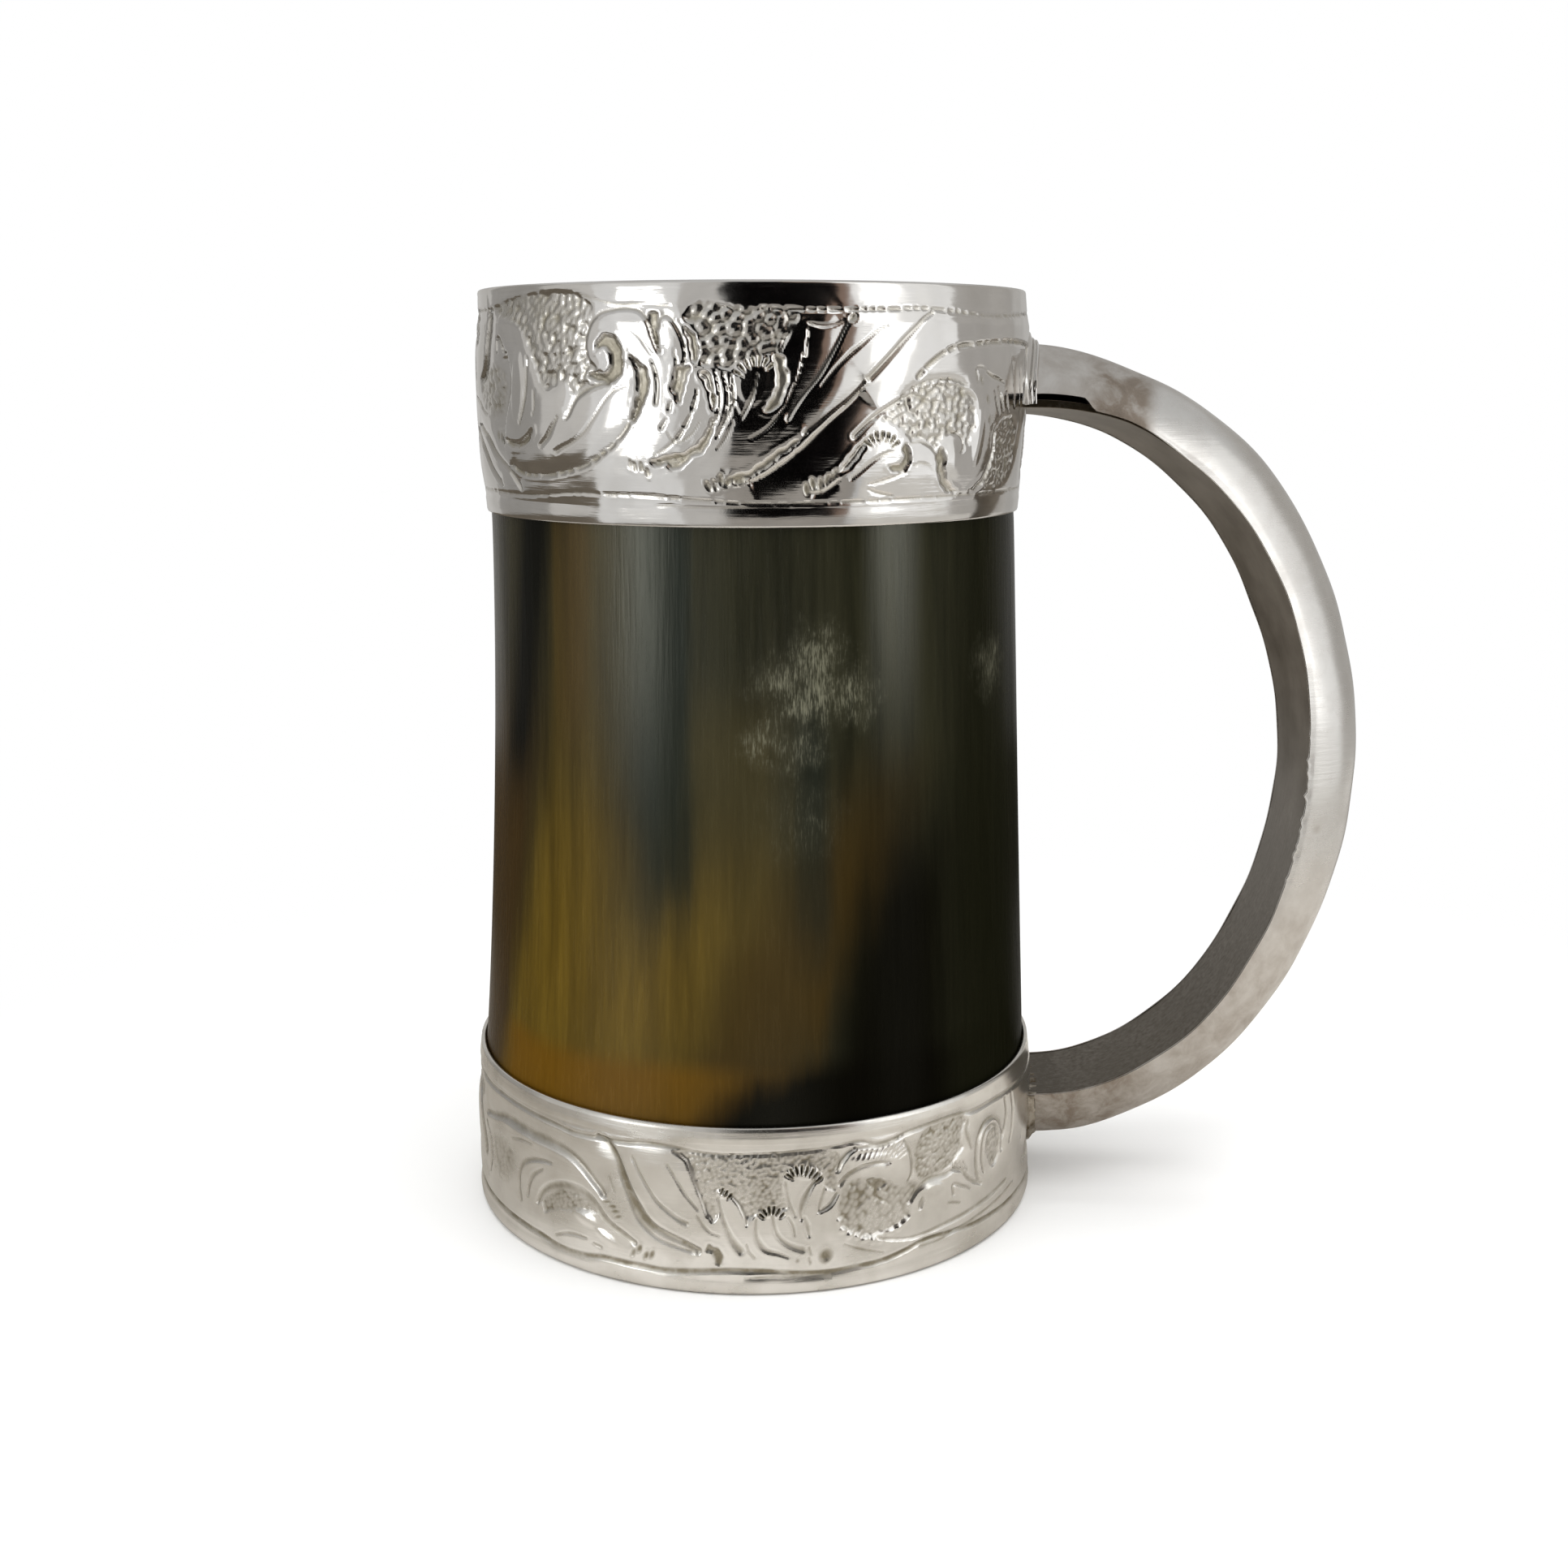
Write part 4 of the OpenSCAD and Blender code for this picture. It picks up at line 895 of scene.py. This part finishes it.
claws(mouth_sheet, ((38.0, 136.8, 100), (39.1, 136.5, 105), (40.9, 133.6, 110), (41.6, 130.6, 95)), 1.4, 0.7, 0.22)
for text in ("40.4,137.6 42.2,136.9 44,136.5 45.8,136", "43,134.8 43.8,133 44.8,131.2",
             "44,135.4 45.2,133.6 46.2,131.8", "46.8,134.6 47.6,132.8 48.6,131.4"):
    chase(mouth_sheet, text, (0.3, 0.7, 0.4), 0.26)
boss(mouth_sheet, 45.8, 134.2, 1.6, 2.6, -20, 0.24)
chase(mouth_sheet, "49,139.6 50.4,136 50.8,132.4", (0.4, 0.9, 0.4), 0.26, fall=0.8)
chase(mouth_sheet, "53.4,138.4 54.2,133 53.4,128 51.4,124", (0.4, 0.9, 0.4), 0.26, fall=0.8)

# Round the side: leaves that carry the wave on to its repeat
chase(mouth_sheet, "-80.6,133.4 -76,132 -71.4,129.6 -68.6,126.4 -68.4,123 -70,120.8", (0.5, 0.9, 0.5), 0.3, fall=0.9)
chase(mouth_sheet, "-63.6,123 -62.4,126 -62.2,129 -63.6,131", (0.3, 0.7, 0.3), 0.2)
chase(mouth_sheet, "-78,137.6 -73,135.4 -69,132.2", (0.2, 0.5, 0.3), 0.16)
chase(mouth_sheet, "-60,139.6 -58.6,137 -58.6,134.6", (0.3, 0.6, 0.3), 0.18)
claws(mouth_sheet, ((-66, 123.2, 95), (-64.9, 122.9, 98), (-67.1, 123.7, 92)), 1.6, 0.75, 0.22)
swell(mouth_sheet, 1.1, 0.6)
swell(mouth_sheet, 2.6, 0.5)
hammered(mouth_sheet, 7.0, 0.05, 11)
hammered(mouth_sheet, 2.6, 0.018, 12)
hammered(mouth_sheet, 1.2, 0.004, 13)

outline = [(42.62, 116.1), (42.8, 116.0), (42.98, 116.05), (43.07, 116.3), (43.14, 117.2), (43.21, 118.0)]
outline += [(UPPER_R - 0.8, z) for z in np.arange(118.6, 149.2, 0.245)]
outline += [(43.47, 149.5), (43.38, 149.8), (43.18, 149.95), (42.98, 149.9), (42.88, 149.6), (42.86, 148.8)]
outline += [(42.85, 140), (42.85, 130), (42.85, 119.4), (42.58, 118.4), (42.56, 116.8)]
upper = turned("mouth_band", outline, 690)
strike_up(upper, mouth_sheet, UPPER_R, (118.5, 119.6, 121, 123, 126, 130, 141, 144.5, 146.4, 149.2),
          (43.25, 43.36, 43.56, 43.82, 44.08, 44.24, 44.26, 44.14, 43.74, 43.5), MOUTH_WALL_R)
finish_piece(upper, "upper_collar", silver_finishes["polished_nickel_silver"], 60)


# ---- Lip lining
# A short silver sleeve inside the mouth. Its top is hammered out over the end of the horn into a smooth
# rounded lip to drink from, soldered to the upper collar.
outline = [(38.0, 136.3), (38.2, 136.05), (38.5, 136.05), (38.68, 136.3), (38.68, 149.25), (42.5, 149.3),
           (42.78, 149.4), (42.8, 149.7), (42.65, 149.92), (42.3, 150.0), (40.5, 149.98), (39.2, 149.9),
           (38.6, 149.75), (38.2, 149.4), (38.02, 148.8), (38.0, 146)]
lining = turned("mouth_sleeve", outline, 240)
points = read_points(lining)
turn, r = around(points)
dents = 0.05 * np.sin(7 * turn + 0.4) + 0.03 * np.sin(19 * turn)
points[:, :2] *= (1 + np.where((r < 38.3) & (points[:, 2] < 148), np.abs(dents), 0) / r)[:, None]
set_points(lining, points)
finish_piece(lining, "lip_lining", silver_finishes["polished_nickel_silver"])


# ---- Handle shell
# The outside of the handle: silver sheet hammered to a half round over a former, bent to a bow and closed with
# the flat strip, so the handle is hollow and light. It is coped to the collars at both ends.
HANDLE_W, SHELL_T, STRIP_T, HANDLE_T = 20.0, 0.9, 1.2, 10.3
BOW_FACE, BEND_R, MID_Z, RISE = 46.8, 42.588, 73.45, 14.362
END_X, FINGER_X = 44.3, 40.0   # where the bends start, and the point from which the bow is measured round
UPPER_COPE_R, LOWER_COPE_R = 43.1, 47.0
TWIST = math.radians(6.4)
BEND_STEPS, BOW_STEPS = 70, 120
SPAN = BEND_R + RISE
BOW_R = (BOW_FACE ** 2 + SPAN ** 2 - 2 * SPAN * BEND_R) / (2 * (BOW_FACE - BEND_R))
BOW_X = END_X + BOW_FACE - BOW_R
JOIN = math.atan2(RISE, BOW_R - BOW_FACE)


def bowed(name, section):
    # A section (across, outwards) carried round the upper bend, the bow and the lower bend by three spins
    piece = new_loop(name, len(section))
    for vertex, (across, out) in zip(piece.data.vertices, section):
        vertex.co = (END_X * MM, across * MM, (MID_Z + SPAN + out) * MM)
    bpy.ops.object.mode_set(mode="EDIT")
    bpy.ops.mesh.select_all(action="SELECT")
    for x, z, angle, steps in ((END_X, MID_Z + RISE, math.pi / 2 - JOIN, BEND_STEPS),
                               (BOW_X, MID_Z, 2 * JOIN, BOW_STEPS),
                               (END_X, MID_Z - RISE, math.pi / 2 - JOIN, BEND_STEPS)):
        bpy.ops.mesh.spin(steps=steps, angle=angle, center=(x * MM, 0, z * MM), axis=(0, -1, 0))
    bpy.ops.object.mode_set(mode="OBJECT")
    return piece


def close_ends():
    # Merges what is doubled in the new piece, fills its open ends and turns its faces outwards
    bpy.ops.object.mode_set(mode="EDIT")
    bpy.ops.mesh.select_all(action="SELECT")
    bpy.ops.mesh.remove_doubles(threshold=0.00001)
    bpy.ops.mesh.select_all(action="DESELECT")
    bpy.ops.mesh.select_mode(type="EDGE")
    bpy.ops.mesh.select_non_manifold()
    bpy.ops.mesh.fill_holes(sides=0)
    bpy.ops.mesh.select_mode(type="VERT")
    bpy.ops.mesh.select_all(action="SELECT")
    bpy.ops.mesh.normals_make_consistent(inside=False)
    bpy.ops.object.mode_set(mode="OBJECT")


def run_of_bow(points):
    # How far round the bow each point lies, as an angle seen from the finger room (+90 up, -90 down)
    return np.degrees(np.arctan2(points[:, 2] - MID_Z, points[:, 0] - FINGER_X))


def set_on_cup(points):
    # Bending has twisted the upper half a little towards the viewer and flattened the upper end, where it meets the
    # mouth band; both ends are coped to the collars
    run = run_of_bow(points)
    twist = TWIST * smooth((run + 2) / 36) * (1 - 0.4 * smooth((run - 66) / 24))
    bend = np.arctan2(points[:, 2] - MID_Z - RISE, points[:, 0] - END_X) > JOIN
    arm = points - np.where(bend[:, None], (END_X, 0, MID_Z + RISE), (BOW_X, 0, MID_Z))
    across, arm[:, 1] = points[:, 1].copy(), 0
    reach = np.linalg.norm(arm, axis=1)
    out = reach - np.where(bend, BEND_R, BOW_R)
    points += arm * ((out * (np.cos(twist) - 1) - across * np.sin(twist)) / reach)[:, None]
    points[:, 1] = across * np.cos(twist) + np.clip(out, 0, HANDLE_T) * np.sin(twist)
    outwards = np.clip(out / HANDLE_T, 0, 1)
    upper = points[:, 2] > MID_Z
    points[:, 2] += 0.6 * ~upper * smooth((58 - points[:, 0]) / 12)
    lift = (1 - outwards) * smooth((72 - points[:, 0]) / 14) + 1.4 * outwards * smooth((64 - points[:, 0]) / 18)
    points[:, 2] += upper * lift
    inner = np.where(points[:, 2] > MID_Z, UPPER_COPE_R, LOWER_COPE_R)
    cope = np.sqrt(inner ** 2 - points[:, 1] ** 2)
    end = points[:, 0] < END_X + 0.3
    lower_end = (points[:, 2] < MID_Z) & (points[:, 0] < 47.6)
    coped = np.where(points[:, 2] > MID_Z, cope, np.maximum(points[:, 0], cope))
    points[:, 0] = np.where(end | lower_end, coped, points[:, 0])
    return points


SHELL_R = ((HANDLE_W / 2) ** 2 + (HANDLE_T - STRIP_T) ** 2) / (2 * (HANDLE_T - STRIP_T))
crown = HANDLE_T - SHELL_R
lap = 0.45   # the shell's walls stand this thick beside the strip and hide its edges
angles = np.linspace(-1, 1, 61) * math.acos((STRIP_T - crown) / SHELL_R)


def flank(a, r):
    # A point of the half round, drawn in a little so that the flanks lean from the seam on
    out = crown + r * math.cos(a)
    rise = max(out - STRIP_T, 0) / (HANDLE_T - STRIP_T)
    return 0.97 * r * math.sin(a) * (0.5 + 0.5 / math.sqrt(1 + rise)), out


arc = [flank(a, SHELL_R) for a in angles]
wall = [(HANDLE_W / 2 - 0.25 * out, out) for out in (0.95, 0.7, 0.45, 0.22, 0.1)]
section = [(-y, out) for y, out in wall[::-1]] + arc + wall + [(HANDLE_W / 2 - 0.15, 0.03), (HANDLE_W / 2 - lap, 0.05)]
inner_r = SHELL_R - SHELL_T
angles = np.linspace(1, -1, 17) * math.acos((STRIP_T + 0.1 - crown) / inner_r)
section += [(HANDLE_W / 2 - lap, STRIP_T + 0.06)] + [flank(a, inner_r) for a in angles]
section += [(lap - HANDLE_W / 2, STRIP_T + 0.06), (lap - HANDLE_W / 2, 0.05), (0.15 - HANDLE_W / 2, 0.03)]
shell = bowed("bow_shell", section)
close_ends()
points = read_points(shell)
round_bow = run_of_bow(points)
# Planishing leaves faint waves along the bow, and one small dent lies below the middle on the near side
way = np.stack([points[:, 0] - END_X, 0 * points[:, 0], (points[:, 2] - MID_Z) * 0.8], 1)
way /= np.linalg.norm(way, axis=1)[:, None]
waves = 0.05 * np.sin(np.radians(round_bow) * 17 + points[:, 1] * 0.25) \
    + 0.04 * np.sin(np.radians(round_bow) * 29 - points[:, 1] * 0.4)
points += way * (waves - 0.1)[:, None]
DENT_AT, DENT_R, DENT_DEPTH = np.array((93.6, -9.6, 63.4)), 0.7, 0.4
dent = np.exp(-(np.linalg.norm(points - DENT_AT, axis=1) / DENT_R) ** 2)
points[:, 1] += DENT_DEPTH * dent
# Beads of solder stand out of the seam on the near side, half way down
seam = np.hypot(points[:, 0] - BOW_X, points[:, 2] - MID_Z) - BOW_R
beads = np.clip(np.sin(points[:, 2] * 3.1) + np.sin(points[:, 2] * 1.27 + 1), 0, 2)
beads *= smooth((82 - points[:, 2]) / 8) * smooth((points[:, 2] - 52) / 8)
points += way * (np.where((points[:, 1] < -9.3) & (np.abs(seam) < 0.6), -0.22, 0) * beads)[:, None]
# At the upper root the near edge of the shell was filed back, and the seam there stands open
face = MID_Z + RISE + np.sqrt(np.maximum(BEND_R ** 2 - (points[:, 0] - END_X) ** 2, 0))
open_seam = 1.7 * smooth((54 - points[:, 0]) / 2) + 0.4 * smooth((70 - points[:, 0]) / 8)
near_edge = (points[:, 2] > MID_Z + RISE) & (points[:, 1] < -8.5)
points[:, 2] += near_edge * np.clip(face + open_seam - points[:, 2], 0, open_seam)
set_points(shell, set_on_cup(points))
# The shell is darker along its lower half, towards the lower root and in the dent. Near the upper root a pinkish-brown
# patch is a painted reflection, standing in for a dark thing that the metal mirrors.
low_half = smooth((-round_bow - 5) / 45) * 0.42 + smooth((-round_bow - 60) / 16) * 0.35 + dent
painted_reflection = 0.3 + 0.5 * smooth((1 - points[:, 1]) / 8) * smooth((points[:, 0] - 50) / 8)
low_half += painted_reflection * smooth((67 + 0.25 * points[:, 1] - points[:, 0]) / 4) * (points[:, 2] > MID_Z)
set_tarnish_and_shade(shell, np.clip(low_half, 0, 1))
finish_piece(shell, "handle_shell", silver_finishes["rubbed_nickel_silver"])


# ---- Handle strip
# The flat strip of the same sheet that closes the shell on the finger side. It is filed flush and soldered along
# both edges; fingers keep it dull, and beads of solder stand in the seam.
half, edge = HANDLE_W / 2 - lap - 0.1, 0.12
section = [(-half + edge, 0), (half - edge, 0), (half, edge), (half, STRIP_T - edge), (half - edge, STRIP_T),
           (-half + edge, STRIP_T), (-half, STRIP_T - edge), (-half, edge)]
strip = bowed("bow_strip", section)
close_ends()
points = read_points(strip)
# The strip is darker towards the bottom and at the lower root. Where the seam stands open at the upper root, its near
# edge is painted dark: painted shade in the gap.
held = 0.85 * smooth((92 - points[:, 2]) / 60) + 0.5 * smooth((54 - points[:, 0]) / 4) * (points[:, 2] < 40)
open_seam = (points[:, 1] < -9.4) & (points[:, 2] > 115) & (points[:, 0] < 72)
set_tarnish_and_shade(strip, np.clip(held + open_seam, 0, 1))
set_points(strip, set_on_cup(points))
finish_piece(strip, "handle_strip", satin_painted_dark_finish, 30)


# ---- Upper ferrule
# A collar of drawn half-round wire and sheet, bent round the upper end of the handle in three ridges and soldered
# to the mouth band, which spreads the handle's pull over the thin sheet.
def ridged(name, ridges, height, sign, base=0.0, tilt=0.0):
    # A loop round the handle's end from a base line, tilted with it, extruded along it once for each pair of reach
    # and growth
    arc = np.linspace(-1, 1, 91) * math.acos((base - crown) / SHELL_R)
    loop = np.array([(SHELL_R * math.sin(a), crown + SHELL_R * math.cos(a)) for a in arc]
                    + [(y, base) for y in np.linspace(0.97, -0.97, 45) * SHELL_R])
    ahead, back = np.roll(loop, -1, 0), np.roll(loop, 1, 0)
    out = np.stack([-(ahead - back)[:, 1], (ahead - back)[:, 0]], 1)
    out /= np.linalg.norm(out, axis=1)[:, None]
    piece = new_loop(name, len(loop))
    bpy.ops.object.mode_set(mode="EDIT")
    bpy.ops.mesh.select_all(action="SELECT")
    for _ in ridges[1:]:
        bpy.ops.mesh.extrude_region_move(TRANSFORM_OT_translate={"value": (0.001, 0, 0)})
    bpy.ops.object.mode_set(mode="OBJECT")
    rows = []
    for reach, grow in ridges:
        ring = loop + out * grow * (0.12 + 0.88 * smooth((loop[:, 1:] - base + 0.4) / 4))
        ring = ring @ np.array([(math.cos(tilt), -math.sin(tilt)), (math.sin(tilt), math.cos(tilt))])
        x = np.sqrt(reach ** 2 - np.clip(ring[:, 0], -15, 15) ** 2)
        drop = BEND_R - np.sqrt(np.maximum(BEND_R ** 2 - (x - END_X) ** 2, 0))
        rows.append(np.stack([x, ring[:, 0], height + sign * (ring[:, 1] - drop)], 1))
    set_points(piece, np.vstack(rows))
    close_ends()
    return piece


ridges = ((43.0, 0.2), (43.0, 1.6), (43.6, 2.3), (44.1, 2.4), (44.5, 2.1), (44.7, 1.5), (44.75, 1.0), (44.82, 1.1),
          (45.0, 1.3), (45.2, 1.1), (45.28, 0.7), (45.35, 0.7), (45.5, 0.95), (45.65, 0.95), (45.8, 0.7),
          (45.85, 0.4), (45.85, 0.15))
ferrule = ridged("root_ferrule", ridges, MID_Z + SPAN + 1.0, 1, 0.7, math.radians(3.8))
finish_piece(ferrule, "upper_ferrule", silver_finishes["polished_nickel_silver"])


# ---- Lower fillet
# The run of hard solder round the lower end of the handle. It was flooded on thickly, so it stands in lumps, and
# flux has burnt brown in the corners.
ridges = ((47.0, 0.2), (47.0, 0.9), (47.8, 1.0), (48.0, 0.9), (48.12, 0.7), (48.24, 0.5), (48.36, 0.34),
          (48.48, 0.22), (48.62, 0.13), (48.78, 0.06), (48.9, 0.0))
fillet = ridged("root_solder", ridges, MID_Z - SPAN, -1)
points = read_points(fillet)
y, z = points[:, 1], points[:, 2]
lumps = 0.16 * np.sin(y * 0.8 + 0.6) * np.sin(z * 0.9 + 1) + 0.12 * np.sin(y * 2.1 + z * 1.6)
lumps += 0.08 * np.sin(y * 3.7 - z * 2.9 + 2) + 0.05 * np.sin(y * 6.1 + z * 5.3)
LUMPS_FROM = 46.8   # nearer the axis the solder is hidden in the joint
points[:, 0] += np.where(points[:, 0] > LUMPS_FROM, 0.9 * lumps, 0)
points[:, 2] += np.where(points[:, 0] > LUMPS_FROM, 0.7 * lumps, 0) + 0.5
set_points(fillet, points)

# Silver solder with burnt flux: a lumpy grey metal, matt, with warm brown stains in the hollows.
solder_finish, tree, shader = start_finish("burnt_silver_solder", Metallic=0.9)
where = node(tree, "TexCoord")["Object"]
flux = noise(tree, where, 0.003, 4.0, 0.6)
flux = remap(tree, flux, 0.4, 0.65)
colour = blend(tree, flux, linear("#aaa295"), linear("#5a4d39"))
dress(tree, shader, colour, remap(tree, flux, 0.0, 1.0, 0.28, 0.55), flux, 0.4, 0.0004)
finish_piece(fillet, "lower_fillet", solder_finish)


# ---- Studio
# A pale table under soft light from both sides and from above. Two bright windows and dark and grey walls stand
# round it at a distance, so that the polished silver has something to mirror.
bpy.ops.object.select_all(action="DESELECT")
bpy.ops.mesh.primitive_plane_add(size=8, location=(0, 0, 0))
table = bpy.context.object
table.name = table.data.name = "studio_table"
table_finish, tree, shader = start_finish("white_table_paper", Roughness=0.9)
shader.inputs["Base Color"].default_value = linear("#f8f8f7")
ray = node(tree, "LightPath")
where = node(tree, "TexCoord")["Object"]
far = node(tree, "VectorMath", {0: where, 1: (0.03, 0.0, 0.0)}, operation="DISTANCE")["Value"]
fade = remap(tree, far, 0.07, 0.22, soft=True)
fade = calc(tree, "MULTIPLY", fade, ray["Is Camera Ray"])
white = node(tree, "Emission", {"Color": (1, 1, 1, 1), "Strength": 1.0})[0]
mixed = node(tree, "MixShader", {0: fade, 1: shader.outputs[0], 2: white})[0]
# For the metal's reflections only, the table gets a painted pool of light, white before the cup, which lifts the
# shade round the foot; further off it is warm grey, darker to the left, and beyond the table's edge the metal mirrors
# the room below the windows
painted_light_pool = node(tree, "VectorMath", {0: where, 1: (-0.005, -0.03, 0.0)}, operation="DISTANCE")["Value"]
painted_light_pool = remap(tree, painted_light_pool, 0.03, 0.044)
leftwards = remap(tree, node(tree, "SeparateXYZ", {"Vector": where})["X"], -0.02, -0.1)
pale = blend(tree, leftwards, linear("#cdc8c1"), linear("#a19b92"))
pale = blend(tree, painted_light_pool, linear("#ece8e3"), pale)
mirrored = node(tree, "BsdfDiffuse", {"Color": pale})[0]
mixed = node(tree, "MixShader", {0: ray["Is Glossy Ray"], 1: mixed, 2: mirrored})[0]
edge = remap(tree, far, 0.16, 0.22)
edge = calc(tree, "MULTIPLY", edge, ray["Is Glossy Ray"])
mixed = node(tree, "MixShader", {0: edge, 1: mixed, 2: node(tree, "BsdfTransparent")[0]})[0]
tree.links.new(mixed, tree.nodes["Material Output"].inputs["Surface"])
table.data.materials.append(table_finish)

sky = bpy.data.worlds.new("white_studio")
sky.use_nodes = True
tree = sky.node_tree
ray = node(tree, "LightPath")
seen = calc(tree, "ADD", ray["Is Camera Ray"], ray["Is Transmission Ray"], clamp=True)
level = remap(tree, seen, 0.0, 1.0, 0.6, 1.0)
tree.nodes["Background"].inputs["Color"].default_value = (1, 1, 1, 1)
tree.links.new(level, tree.nodes["Background"].inputs["Strength"])
bpy.context.scene.world = sky

# The room, seen only in reflections: name, bearing from and to (degrees, 0 = towards the camera), bottom, top,
# shade and light. Its panes hang a little before its windows.
ROOM, PANE_GAP = 2.0, 0.1
for name, start, stop, low, high, shade, light in (
        ("dark_wall", -10, 34, -0.2, 1.0, "#060505", 1.0), ("dark_beam", -10, 14, 1.0, 1.7, "#0c0a09", 1.0),
        ("brown_wall", 14, 33, 1.0, 2.0, "#ab998b", 1.0), ("dark_plinth", -10, 36, -0.8, -0.2, "#aba6a0", 1.0),
        ("front_floor", -28, 44, -1.4, -0.8, "#a9a5a0", 1.0), ("middle_wall", -28, -10, -0.8, 1.4, "#d2d0cd", 1.0),
        ("brown_door", 34, 40, -0.2, 1.1, "#8d776a", 1.0), ("door_plinth", 36, 40, -0.8, -0.2, "#aba6a0", 1.0),
        ("right_window", 40, 90, -0.3, 1.9, "#ffffff", 1.12),
        ("left_window", -67, -28, -0.8, 1.5, "#ffffff", 0.92), ("left_pane", -54, -36, -0.1, 0.4, "#ffffff", 3.6),
        ("left_wall", -92, -67, -0.3, 1.5, "#d6d4d1", 1.0), ("left_back", -135, -92, -0.3, 1.5, "#a9a7a4", 1.0),
        ("far_left", -180, -135, -0.3, 1.5, "#cbc9c6", 1.0), ("left_floor", -180, -67, -1.4, -0.3, "#736b60", 1.0),
        ("near_floor", -67, -28, -1.4, -0.8, "#736b60", 1.0),
        ("right_pane", 50, 66, -0.12, 0.36, "#ffffff", 2.2), ("high_pane", 44, 62, 0.36, 1.1, "#ffffff", 1.9),
        ("top_pane", 37, 62, 1.1, 1.7, "#ffffff", 1.9), ("right_wall", 90, 135, -0.3, 1.5, "#bcb9b5", 1.0),
        ("back_wall", 135, 180, -0.3, 1.5, "#c2c0bd", 1.0), ("right_floor", 44, 138, -1.4, -0.3, "#e6e3de", 1.0),
        ("back_floor", 138, 180, -1.4, -0.3, "#8f8a82", 1.0)):
    bpy.ops.object.select_all(action="DESELECT")
    bpy.ops.mesh.primitive_plane_add(size=1)
    card = bpy.context.object
    card.name = card.data.name = name
    bpy.ops.object.mode_set(mode="EDIT")
    bpy.ops.mesh.select_all(action="SELECT")
    bpy.ops.mesh.subdivide(number_cuts=23)
    bpy.ops.object.mode_set(mode="OBJECT")
    for vertex in card.data.vertices:
        a = math.radians(start + (stop - start) * (vertex.co.x + 0.5))
        away = ROOM - PANE_GAP * (light > 1.5)
        vertex.co = (away * math.sin(a), -away * math.cos(a), low + (high - low) * (vertex.co.y + 0.5))
    card_finish, tree, _ = start_finish(name + "_card")
    where = node(tree, "TexCoord")["Object"]
    uneven = noise(tree, where, 0.5, 2.0)
    uneven = remap(tree, uneven, 0.3, 0.7, 0.82 * light, light)
    paint = node(tree, "Emission", {"Color": linear(shade), "Strength": uneven})[0]
    tree.links.new(paint, tree.nodes["Material Output"].inputs["Surface"])
    card.data.materials.append(card_finish)
    card.visible_camera = card.visible_diffuse = card.visible_shadow = card.visible_transmission = False

# Soft boxes round the cup and one over it, which the metal doesn't mirror
LAMP_AWAY = 0.5
for name, bearing, height, size, power in (("left_box", -48, 0.30, (0.34, 0.56), 1.0),
                                           ("right_box", 72, 0.30, (0.44, 0.56), 1.2),
                                           ("back_box", 180, 0.55, (0.6, 0.4), 1.0)):
    lamp = bpy.data.lights.new(name, "AREA")
    lamp.shape = "RECTANGLE"
    lamp.size, lamp.size_y = size
    lamp.energy = power
    holder = bpy.data.objects.new(name, lamp)
    a = math.radians(bearing)
    holder.location = (LAMP_AWAY * math.sin(a), -LAMP_AWAY * math.cos(a), height)
    holder.rotation_euler = (math.radians(80), 0, a)
    holder.visible_glossy = False
    bpy.context.scene.collection.objects.link(holder)
overhead = bpy.data.lights.new("overhead_box", "AREA")
overhead.shape, overhead.size, overhead.energy = "SQUARE", 0.8, 5.0
holder = bpy.data.objects.new("overhead_box", overhead)
holder.location = (0.05, -0.1, 0.85)
holder.visible_glossy = False
bpy.context.scene.collection.objects.link(holder)

# The camera sees the four edges of the collars as the photograph does, from a little above the middle
LOOK_DOWN = math.radians(12.617)
camera = bpy.data.cameras.new("camera")
camera.lens, camera.sensor_width = 42.265, 36
holder = bpy.data.objects.new("camera", camera)
holder.location = (0.00508, -0.30472, 0.13756)
holder.rotation_euler = (math.pi / 2 - LOOK_DOWN, 0, 0)
bpy.context.scene.collection.objects.link(holder)
bpy.context.scene.camera = holder
bpy.context.scene.view_settings.view_transform = "Standard"
